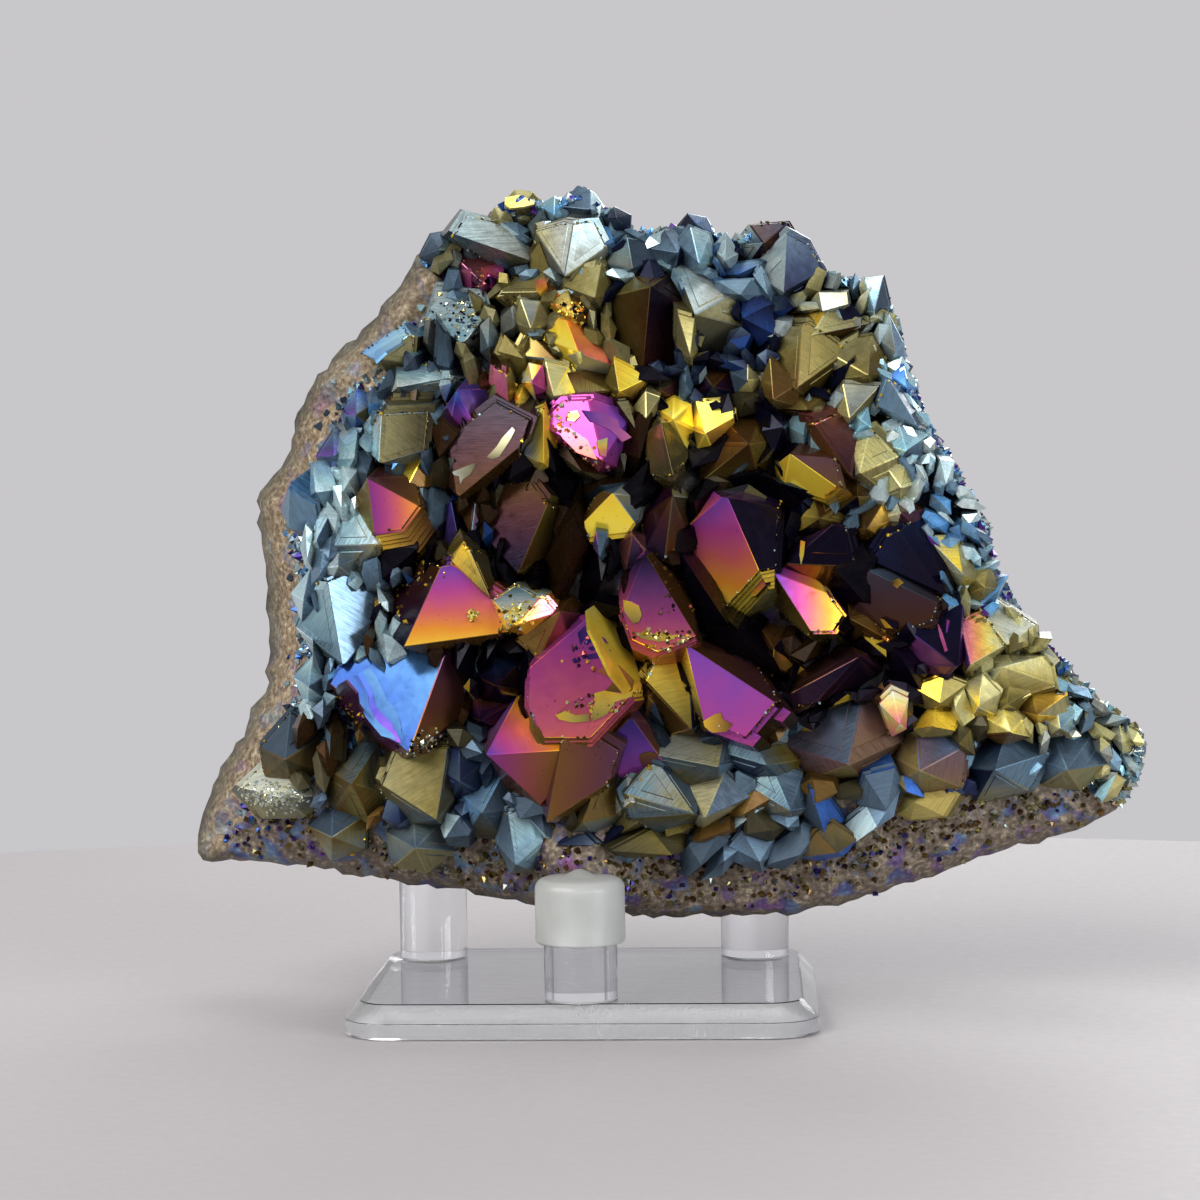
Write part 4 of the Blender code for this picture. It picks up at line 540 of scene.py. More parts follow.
RIM = crystal_rows("""
pale olive point|lined|2|1-3|48.8,95.8|47.6,102 47,95.3 51.5,90.8 54.8,93.5 55.2,98.5 51,102.8|khaki>cream;
 E:khaki>olive; W:cream>green; N:straw
khaki point||1||56,93.3|52,92 53,97.8 57,98.3 58.5,94 56,90.2|khaki>straw
cyan bead||1||49.2,105|47.8,106.5 50.5,107 51,103.8 48.6,102.8|cyan
ice bar||0.5||52,123.8|50,124 50.7,129 53.5,129.3 54.6,125 52.5,121.7|ice>steel; E:slate
ice spur||0.5||55.5,116.7|53,119 54.7,122.7 57,118.2 57.3,115 54.8,114.5|ice>grey; E:steel
blue fin||1|1-3|59,103.8|52.6,107.3 54,111.3 57,109.8 60.6,105 60.3,102.3 56.3,104.2|sky>cyan E; S:steel;
 E:slate
blue spur||0||57.3,110.4|54.8,112.5 57,114.3 59,110.5 57.6,108.2 55.3,109.8|blue>sky
pale cyan plate||1||57,99.5|53,101 56,104.3 60.8,102 60.3,98 55.5,96.7|ice>cyan; E:steel>slate; S:slate
dark strip point||0||56,89|52.8,88 55,92.3 59.7,89.2 59.2,85.8 55.3,85.2|plum>umber; W:cream
gold rim blade||2|1-3|66.5,78.3|61.3,84 65.3,84 69.3,80.2 70.7,76 66.5,75.7 63.2,80|straw>gold; E:khaki;
 W:cream
olive rim point||1||70.3,76|67.3,78.5 71,79.5 72.8,75.5 70,73.2 67.4,74.7|khaki>olive
yellow rim point||2|0-2|67.6,62.8|66.3,69.3 70,70.2 73.3,65.5 70,61.6 67,60|straw>cream E; E:cream>straw;
 N:pink>cream E; S:straw>khaki; W:pink>violet
broad yellow point||1|0-2|74,66|69.2,72.5 73,72.9 79.2,68.8 79.6,65.6 74.5,64 70,68.8|cream>straw;
 E:cream>straw; W:straw>brass; N:cream>white E; S:straw>khaki N
cream arch||1.5|1-3|73.3,62.2|69.2,60 72,62.8 77.5,64.7 81.3,62.7 81.8,58.8 75,56.6 70.3,56.2|cream>lemon;
 S:straw>brass; W:cream; E:straw>brass; SW:straw; N:cream>straw E
lemon foot||1.5||69,55.3|67,58.8 70,60.4 72.8,57.5 72.2,53.8 68.3,53.4|cream>gold; E:straw>khaki
olive chip||0.5||74,55.5|71.3,57 75,59.6 78.3,57.6 76.2,54.3 72.3,53.5|olive>khaki N
brown gold slab||1||79.5,53.5|76.3,54 79,57.4 84.2,56.4 84.8,52.8 80,51.2|bronze>gold N; E:khaki
yellow slab||1.5||74.8,50.7|70.8,53 73.5,55.2 77.2,52.8 78.3,49.6 74,48.4 71.2,50.2|lemon>straw E; S:bronze
straw slab||1||83.5,51|80.3,53 83,55.9 86.8,53.7 85.8,49.7 81.8,49.2|cream>straw E; S:khaki; E:ice>steel
""")
SKIRT = crystal_rows("""
hazy rose block|lined|2|0-2 2-4|46.5,46|32.5,50 40,53.3 47.5,58 54.3,56.2 55.6,48.5 50,42 38,42|haze>clay;
 NE:indigo>haze; S:clay>khaki E; E:haze>clay; W:russet>haze N; SE:clay>umber; SW:clay>haze N; N:haze>slate E
pink chip||2||55.3,52.8|52.3,56 54.3,58 56.8,56.8 56.6,51.8 54.3,50.6|pink>white N
amber cushion||1.5|1-3|58.8,44.5|55.5,46 58.3,50.6 63,51 66.4,47 65.8,41.3 59.5,39.4 55.7,42|clay>haze N;
 S:clay>khaki N; E:haze>clay; W:brass>clay W; N:haze>steel E
striped pale block|lined|1|0-2|24.3,46|13.3,47.5 18,51 25.5,51.6 28,46 24,42 18.3,42.6|grey>khaki E;
 S:slate>olive; W:khaki>grey N; E:steel>slate
olive gold boss|lined|1|1-3|20,37.8|9.2,41 13,45.4 18.5,45 21.8,40 21.3,35.4 14,34.3 9.7,37.2|khaki>slate;
 N:khaki>steel W; W:khaki>slate; S:olive>slate; E:slate
pale green boss|lined|0.5||21.8,37|19.2,42.5 25,44 29,40 24.7,36.6 21.4,34.2 19,37.2|green>khaki;
 W:cream>green; E:slate
blue facet block|lined|1.5|1-3|32.5,46.2|25.2,48 28,52.6 33,51.6 38,46 35.2,42.3 29,43.6|slate>steel;
 E:bronze>slate W; W:steel>ice N; S:navy>slate N
ice wedge|lined|0.5||36.5,38|29.8,42 33,46 38.3,43.5 40,38 36.6,35.5 31.8,37|ice>steel; E:slate>steel N;
 S:slate>khaki E
olive flank||0.5|1-3|0.8,36.5|-1.3,36.8 4,46 7.4,45 7.3,37 3,33 -2.3,32.5|olive>bronze; W:khaki>olive E;
 S:slate>khaki N
white chip||0.5||9,40|6.6,41 8.3,44.7 12.2,43.4 12.6,39 9,36.5 6.5,37.7|white>grey; S:khaki
olive crusted block||1|0-2|-24.8,36.8|-34.3,42 -31,47.4 -23,48.4 -21.2,42 -24.4,34.3 -31,35.5|olive>smoke;
 S:olive>slate E; E:smoke>slate N; W:olive>smoke; N:khaki>olive E
pale blue prism|lined|0.5|1-3|-11,28.8|-14.7,32 -13,37 -8.5,37.4 -6.8,32 -9,27 -12.6,26.6|steel>slate;
 W:steel>slate N; E:ice>steel; S:slate>khaki
blue white chips||0|0-2|-17,38|-21.3,40 -18,45 -12.8,43.4 -11.2,38 -14,33 -20,33.5|steel>sky N;
 S:slate>smoke; W:sky>slate; E:slate
indigo shadow||0||-20.5,43.5|-24.3,45 -21,50.5 -15.8,47.3 -17.3,41 -22,40|slate>navy; W:indigo>slate
blue slate block|lined|0.5|0-2|72,44|65.8,43 69,49 76,50 81.3,46 78,40 70,38|slate>steel N; W:navy>slate;
 S:khaki>slate N; E:steel
blue slate tail||0||85,43.5|79.7,45 83,50 90,49 93.3,44 88,39.6 81.3,40|slate>steel E; S:khaki
umber blue block|lined|0|0-2|-40,43|-46.3,44 -42,51 -35,48 -33.7,40 -38,35.5 -44,37.6|bronze>slate E;
 S:bronze>khaki E; W:smoke>bronze N
umber block||-1||-52,46.8|-57,48 -52,53.5 -46.2,50.3 -46.7,44.3 -52,42 -56.3,43.6|smoke>bronze; N:slate
frosted patch||0|0-2|-53,40.2|-61,40.5 -57,44.3 -50,43.4 -46,39.5 -50,36 -57,36|white>white E; S:grey>khaki
grey block||-1||-29,31.3|-34.4,33 -30,37 -24.8,35.4 -23.6,30 -28,26.5 -33.3,27.6|grey>slate; S:khaki
rust grey block||-1||-44,33|-48.5,34 -44.5,38 -39,36 -39.5,30.5 -45,28.5|bronze>grey; N:slate
""")
print("flank, rim and skirt", len(FLANK), len(RIM), len(SKIRT), "crystals")


# %% [markdown]
# ## Cutting one crystal
#
# The planes are worked out from the girdle and the tip: one through the tip for every facet, one along
# the prism for every girdle edge, and a flat one for the root, which ends just under the rind where the
# rock is thin. Corners are found where three planes meet inside all the others, and each face is the ring
# of corners on its plane, so every crystal comes out closed, and every face still knows what it is.

# %% planes of a crystal
RING_GROWTH = 1.13
POINT_RATIO, FILLER_RATIO = 1.15, 0.8
LEAN_LIMIT = math.radians(46)
RING_SHARE = 0.7
ROOT_LENGTH, SHORTEST_ROOT, ROOT_SKIN = 13.0, 1.2, 2.0
ROOT_LEAN_GAP = 14.0
Y_AXIS = np.array([0.0, 1.0, 0.0])
Solid = namedtuple("Solid", "facets walls root axis middle radius")


def unit(vector):
    return vector / max(np.linalg.norm(vector), 1e-6)


def plane(points, inside):
    """Best plane through points as (normal, offset), with inside on its negative side."""
    middle = points.mean(axis=0)
    normal = np.linalg.svd(points - middle)[2][2]
    if normal @ (inside - middle) > 0:
        normal = -normal
    return normal, float(normal @ middle)


def root_plane(ring, middle):
    """Flat end of a crystal: far behind its girdle, or just under the rind where the rock is thin."""
    rear = [rock_back(x, z) if inside_edge(x, z) else edge_distance(x, z)[1] for x, z in ring]
    deep = max(min(rear) - ROOT_SKIN, middle[1] + SHORTEST_ROOT)
    return Y_AXIS, float(min(deep, middle[1] + ROOT_LENGTH))


def crystal_planes(tip, ring, out, flats, ratio):
    """The solid of one crystal: a point as tall as ratio times its girdle's radius, and its prism."""
    ring, tip = np.array(ring), np.array(tip)
    centre = ring.mean(axis=0)
    ring = centre + (ring - centre) * RING_GROWTH
    offset = tip - centre
    radius = np.linalg.norm(ring - centre, axis=1).mean()
    height = ratio * radius
    reach = np.linalg.norm(offset)
    lean = min(math.asin(min(reach / height, 1.0)), LEAN_LIMIT)
    sideways = offset / max(reach, 1e-6) * math.sin(lean)
    axis = np.array([sideways[0], -math.cos(lean), sideways[1]])
    away = ring - centre
    ring_y = -(away[:, 0] * axis[0] + away[:, 1] * axis[2]) / axis[1]
    tip_y = -height * math.cos(lean)
    forward = face_depth(*centre) - out - min(tip_y, ring_y.min() * RING_SHARE)
    girdle = np.column_stack([ring[:, 0], ring_y + forward, ring[:, 1]])
    point = np.array([tip[0], tip_y + forward, tip[1]])
    middle = np.array([centre[0], forward, centre[1]])
    back = unit(Y_AXIS - axis * min(edge_distance(*centre)[0] / ROOT_LEAN_GAP, 1.0))
    inside = middle + back * SHORTEST_ROOT * 0.5
    count = len(girdle)
    facets, walls, shared = [], [], set()
    for first, last in flats:
        shared.update(k % count for k in range(first, last))
        run = [girdle[k % count] for k in range(first, last + 1)]
        facets.append(plane(np.array([point] * 3 + run), inside))
    for k in range(count):
        a, b = girdle[k], girdle[(k + 1) % count]
        if k not in shared:
            facets.append(plane(np.array([point, a, b]), inside))
        walls.append(plane(np.array([a, b, a + back * ROOT_LENGTH, b + back * ROOT_LENGTH]), inside))
    return Solid(facets, walls, root_plane(ring, middle), axis, middle, radius)


# %% faces where the planes meet
PARALLEL, TOUCHING, ON_PLANE = 1e-4, 1e-6, 1e-4


def faces_of(planes):
    """Corners and, for each plane, the ring of corners that lie on it."""
    normals = np.array([p[0] for p in planes])
    offsets = np.array([p[1] for p in planes])
    triples = np.array(list(combinations(range(len(planes)), 3)))
    three = normals[triples]
    firm = np.abs(np.linalg.det(three)) > PARALLEL
    spots = np.linalg.solve(three[firm], offsets[triples[firm]][..., None])[..., 0]
    spots = spots[(spots @ normals.T - offsets < TOUCHING).all(axis=1)]
    if len(spots) < 4:
        return np.empty((0, 3)), []
    corners = np.unique(np.round(spots, 5), axis=0)
    rings = []
    for normal, offset, *_ in planes:
        on = np.flatnonzero(np.abs(corners @ normal - offset) < ON_PLANE)
        if len(on) < 3:
            rings.append([])
            continue
        middle = corners[on].mean(axis=0)
        side = unit(corners[on[0]] - middle)
        other = np.cross(normal, side)
        turn = np.arctan2((corners[on] - middle) @ other, (corners[on] - middle) @ side)
        rings.append([int(k) for k in on[np.argsort(turn)]])
    return corners, rings


# %% [markdown]
# ## Paint and grain on every face corner
#
# Each face corner carries two values for the materials: its tone, and its grain, which is where it lies
# along the crystal and across it. Painting by hand or unwrapping would also work, but values set with the
# shape always fit it, and the gradient on a flat facet comes out perfectly straight.

# %% the tone of a facet's corners
WAY_REACH = 52.0
FLAT_ENOUGH = 0.12


def turn_between(a, b):
    return abs((a - b + 180.0) % 360.0 - 180.0)


def side_of(normal):
    """Where a plane faces, seen from the front, in degrees from east."""
    return math.degrees(math.atan2(normal[2], normal[0]))


def tone_step(first, last):
    """The shorter way round the film's scale from one tone to another."""
    return (last[0] - first[0] + 50) % 100 - 50


def rule_for(rules, normal):
    """The rule whose way lies nearest to where a facet faces, or the first plain rule."""
    best = next((rule for rule in rules if rule[0] is None), rules[0])
    if math.hypot(normal[0], normal[2]) < FLAT_ENOUGH:
        return best
    nearest = WAY_REACH
    for rule in rules:
        off = WAY_REACH if rule[0] is None else turn_between(side_of(normal), rule[0])
        if off < nearest:
            nearest, best = off, rule
    return best


def tone_spots(rules, normal, spots, dim):
    """The tone of every corner of a facet."""
    _, first, last, way = rule_for(rules, normal)
    turn = math.radians(way)
    along = spots[:, 0] * math.cos(turn) + spots[:, 2] * math.sin(turn)
    span = max(along.max() - along.min(), 1e-6)
    share = ((along - along.min()) / span)[:, None]
    tones = np.array(first) * (1 - share) + np.array((first[0] + tone_step(first, last), *last[1:])) * share
    tones[:, 0] /= 100.0
    tones[:, 2] *= dim
    return [tuple(float(v) for v in t) for t in tones]


# %% shaved edges
EDGE_CUT, SHAVED_FROM, FRONT_ONLY = 0.06, 6.0, 0.3


def edge_planes(planes, corners, rings, cut):
    """A plane that shaves each edge which can be seen from the front."""
    sides = {}
    for index, ring in enumerate(rings):
        for a, b in zip(ring, ring[1:] + ring[:1]):
            sides.setdefault((min(a, b), max(a, b)), []).append(index)
    made = []
    for (a, b), pair in sides.items():
        if len(pair) != 2 or np.linalg.norm(corners[a] - corners[b]) < SHAVED_FROM * cut:
            continue
        normal = unit(planes[pair[0]][0] + planes[pair[1]][0])
        if normal[1] < FRONT_ONLY:
            made.append((normal, float(normal @ corners[a]) - cut, True))
    return made


# %% a mesh and a finished piece
def new_mesh(name, verts, faces, scale=MM):
    mesh = bpy.data.meshes.new(name)
    mesh.from_pydata([tuple(float(v) * scale for v in vert) for vert in verts], [], faces)
    return mesh


def finish_piece(name, mesh, node="quartz_cluster"):
    """Put a mesh in the scene as a piece of the body, in place of a node of the CAD part."""
    obj = add_object(name, mesh)
    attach(obj, "root")
    if node:
        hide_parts(node)
    print(name, len(mesh.polygons), "faces")


# %% a pile collects many solids into one mesh
# Prism walls get a painted shade, and the shaved edges a painted highlight.
WALL_PAINTED_SHADE, EDGE_PAINTED_HIGHLIGHT = 0.6, 1.3
FACET_LINES = 0.35
SEED_STEP = 7.3


class Pile:
    """Faces, tones and grain of many crystals, made into one object at the end."""

    def __init__(self):
        self.corners, self.faces, self.tones, self.grain = [], [], [], []
        self.seed = 0

    def add_solid(self, planes, rules, axis, dim, wall_from, bevel=0.0, lined=1.0):
        """One solid. Walls (planes from wall_from on) get painted shade and lines; edges a painted highlight.
        """
        corners, rings = faces_of(planes)
        if bevel:
            planes = planes + edge_planes(planes, corners, rings, bevel)
            corners, rings = faces_of(planes)
        self.seed += 1
        start = len(self.corners)
        used = sorted({k for ring in rings for k in ring})
        place = {k: start + i for i, k in enumerate(used)}
        self.corners.extend(corners[used])
        for index, ring in enumerate(rings):
            if not ring:
                continue
            normal, _, *edge = planes[index]
            wall = index >= wall_from and not edge
            spots = corners[ring]
            self.faces.append([place[k] for k in ring])
            shade = EDGE_PAINTED_HIGHLIGHT if edge else WALL_PAINTED_SHADE if wall else 1.0
            tones = tone_spots(rules, normal, spots, dim * shade)
            self.tones.extend((*tone, lined if wall else lined * FACET_LINES) for tone in tones)
            across = unit(np.cross(axis, normal))
            along = np.cross(normal, across)
            self.grain.extend((spot @ along, spot @ across, self.seed * SEED_STEP) for spot in spots)

    def make(self, name, mat):
        mesh = new_mesh(name, self.corners, self.faces)
        tone = mesh.attributes.new("tone", "FLOAT_COLOR", "CORNER")
        tone.data.foreach_set("color", np.array(self.tones, np.float32).ravel())
        grain = mesh.attributes.new("grain", "FLOAT_VECTOR", "CORNER")
        grain.data.foreach_set("vector", np.array(self.grain, np.float32).ravel())
        mesh.materials.append(mat)
        finish_piece(name, mesh)


# %% [markdown]
# ## Steps and side crystals
#
# No big quartz point stands alone. Around its girdle it has low steps, where the prism grew in jerks, and
# small side crystals that share its direction and so flash together with it. Its facets carry thin flat
# terraces and its prism walls fine ridges that run across. Steps, terraces and ridges are all the same
# planes moved a little; side crystals are small copies set at the girdle's corners.

# %% steps around the girdle
# Steps around the girdle get a painted shade.
STEP_IN, STEP_OUT, STEP_PAINTED_SHADE = 0.55, 0.38, 0.8
TWO_STEPS_FROM = 6.0


def moved(planes, distance, random, spread=0.6):
    """Planes pushed outwards by about a distance, each a little differently."""
    return [(n, d + distance * random.uniform(1 - spread, 1 + spread)) for n, d in planes]


def steps(pile, solid, rules, random, dim):
    """Low steps around the girdle: two on a large crystal, one on a small one."""
    for level in range(1, 3 if solid.radius > TWO_STEPS_FROM else 2):
        low = moved(solid.facets, -STEP_IN * level, random)
        wide = moved(solid.walls, STEP_OUT * level, random)
        pile.add_solid(low + wide + [solid.root], rules, solid.axis, dim * STEP_PAINTED_SHADE, len(low))


# %% terraces on the facets and ridges across the walls
TERRACE_CHANCE, TERRACE_RISE, TERRACE_SHADE = 0.5, (0.06, 0.16), (0.88, 1.12)
RIDGE_SINK, RIDGE_TOP, FRONT_WALLS = 0.1, 0.75, 0.2
RIDGE_GAP, RIDGE_THICK, RIDGE_RISE, RIDGE_SHADE = (0.12, 0.4), (0.04, 0.14), (0.08, 0.26), (0.7, 1.25)


def terraces(pile, solid, rules, random, dim):
    """A thin raised plate on about half of the facets, set in from their edges."""
    for index, (normal, offset) in enumerate(solid.facets):
        if random.random() < TERRACE_CHANCE:
            continue
        rise = random.uniform(*TERRACE_RISE)
        low = [(n, d - random.uniform(0.3, 0.22 * solid.radius)) for n, d in solid.facets]
        low[index] = (normal, offset + rise)
        slim = [(n, d - random.uniform(0.1, 0.2 * solid.radius)) for n, d in solid.walls]
        shade = dim * random.uniform(*TERRACE_SHADE)
        pile.add_solid(low + slim + [solid.root], rules, solid.axis, shade, len(low))


def ridges(pile, solid, rules, random, dim):
    """Fine flat ridges across the prism walls."""
    facets, walls, root, axis, middle, radius = solid
    low = [(n, d - RIDGE_SINK) for n, d in facets]
    for index, (normal, offset) in enumerate(walls):
        if normal[1] > FRONT_WALLS:
            continue
        place = middle @ axis + radius * RIDGE_TOP
        for _ in range(int(random.integers(3, 7))):
            place -= radius * random.uniform(*RIDGE_GAP)
            thick = radius * random.uniform(*RIDGE_THICK)
            out = list(walls)
            out[index] = (normal, offset + random.uniform(*RIDGE_RISE))
            cuts = [(axis, place + thick), (-axis, -place)]
            shade = dim * random.uniform(*RIDGE_SHADE)
            pile.add_solid(low + out + cuts + [root], rules, axis, shade, len(facets))


# %% side crystals, and flights of steps on one side
# Side crystals at the girdle get a painted shade.
SIDE_SIZE, SIDE_BACK, SIDE_IN, SIDE_ROOT, SIDE_PAINTED_SHADE = (0.16, 0.30), (0.1, 0.35), 0.2, 0.8, 0.85
GIRDLE_NEAR = 0.5
STAIR_DROP, STAIR_RISE, STAIR_SHADE, STAIR_REACH = (0.25, 0.6), (0.3, 0.65), (0.45, 1.15), 62.0


def side_crystals(pile, solid, rules, random, dim):
    """Small copies of the crystal at a few corners of its girdle."""
    facets, walls, root, axis, middle, radius = solid
    corners, _ = faces_of(facets + walls + [root])
    girdle = [c for c in corners if abs((c - middle) @ axis) < radius * GIRDLE_NEAR]
    random.shuffle(girdle)
    for corner in girdle[:int(random.integers(1, 4))]:
        size = random.uniform(*SIDE_SIZE)
        shift = corner - middle * size - axis * radius * random.uniform(*SIDE_BACK)
        shift -= (corner - middle) * SIDE_IN
        small = [(n, d * size + n @ shift) for n, d in facets + walls]
        deep = (Y_AXIS, min(float(corner[1] + radius * SIDE_ROOT), root[1]))
        pile.add_solid(small + [deep], rules, axis, dim * SIDE_PAINTED_SHADE, len(facets))


def stairs(pile, solid, way, count, paint, random):
    """A flight of thin steps on the side of a crystal that faces one way."""
    drop = rise = 0.0
    for _ in range(count):
        drop += random.uniform(*STAIR_DROP)
        rise += random.uniform(*STAIR_RISE)
        low = [(n, d - drop) for n, d in solid.facets]
        wide = [(n, d + (rise if turn_between(side_of(n), way) < STAIR_REACH else -0.1 * drop))
                for n, d in solid.walls]
        shade = random.uniform(*STAIR_SHADE)
        pile.add_solid(low + wide + [solid.root], read_paint(paint), solid.axis, shade, len(low))


# %% the dark heart, and the painted light of the fillers
HEART_X, HEART_Z, HEART_WIDE, HEART_TALL = 12.0, 76.0, 52.0, 36.0
RIGHT_RIM, LEFT_FLANK, CROWN_FOOT = 50.0, -30.0, 116.0
HEART_SHADE = 0.5


def heart_share(x, z):
    """1 in the middle of the dark heart of the cluster and 0 outside it."""
    return max(1.0 - math.hypot((x - HEART_X) / HEART_WIDE, (z - HEART_Z) / HEART_TALL), 0.0)


def in_heart(x, z):
    """1 in the inner half of the dark heart, and falling to 0 at its border."""
    return min(2.0 * heart_share(x, z), 1.0)


def filler_light(x, z):
    """Painted light of a filler: brighter on the rims, painted shade in the heart."""
    light = 1.7 if x > RIGHT_RIM else 1.6 if x < LEFT_FLANK else 1.1 if z > CROWN_FOOT else 1.0
    return light - HEART_SHADE * in_heart(x, z)


# %% growing all the crystals of a table
LINES = {"smooth": 0.0, "": 1.0, "lined": 1.8}
SIDE_FROM, TERRACE_FROM = 3.4, 4.5
SOLIDS = {}


def grow(pile, rows, random, pile_dim):
    """Add the crystals of a table. Fillers, which have no name, get no shaved edges, terraces or ridges."""
    for name, finish, out, flats, tip, ring, paint in rows:
        rules = read_paint(paint)
        solid = crystal_planes(tip, ring, out, flats, POINT_RATIO if name else FILLER_RATIO)
        # dim scales the painted light and shade of the facets: per pile, and for fillers by zone
        dim = pile_dim * (1.0 if name else filler_light(solid.middle[0], solid.middle[2]))
        cut = EDGE_CUT if name else 0.0
        planes = solid.facets + solid.walls + [solid.root]
        pile.add_solid(planes, rules, solid.axis, dim, len(solid.facets), cut, LINES[finish])
        if name:
            SOLIDS[name] = solid
        if solid.radius < SIDE_FROM:
            continue
        steps(pile, solid, rules, random, dim)
        if name and solid.radius > TERRACE_FROM:
            if finish != "smooth":
                terraces(pile, solid, rules, random, dim)
            ridges(pile, solid, rules, random, dim)
        side_crystals(pile, solid, rules, random, dim)


# %% [markdown]
# ## Broken steps, plates and crust
#
# Some crystals are known by their damage: flights of bright steps, thin plates with a ragged edge, and a
# crust of sparkling grains. The flights are listed by crystal and side. A plate is an outline laid on the
# facet under it and raised a little. Crust is a sprinkle of tiny grains on the crystal's own surface. A few
# pale plates and white grains are painted highlights and glints.

# %% where the steps are: crystal, side in degrees, steps, paint
STAIRS = table("""
purple amber point|285|6|gold>umber E
great purple point|275|5|straw>gold
silver striped prism|190|7|silver>slate
silver striped prism|60|5|khaki>smoke E
striated block|250|6|silver>slate
striated block|30|6|steel>silver W
silver wedge|210|4|slate>khaki
dark striped block|330|5|khaki>umber
lemon blade|170|4|gold>olive
pale olive point|20|5|straw>khaki E
gold blue fan|350|6|gold>umber
great magenta point|250|3|gold>bronze
yellow rim point|20|4|straw>khaki E
broad yellow point|200|3|brass>straw E
cream arch|270|4|straw>brass E
great dark roof|225|6|brass>umber
plum shadow|200|4|bronze>black
olive band|180|5|straw>umber
striped pale block|200|6|grey>slate
silver bar|300|4|khaki>cream E
pale green point|350|3|grey>khaki
olive grey point|300|3|khaki>umber
honey octagon|200|4|straw>khaki
bronze dome|320|4|olive>silver E
blue facet block|190|5|steel>navy
hazy rose block|250|3|bronze>slate E
""")
print(len(STAIRS), "flights of steps")
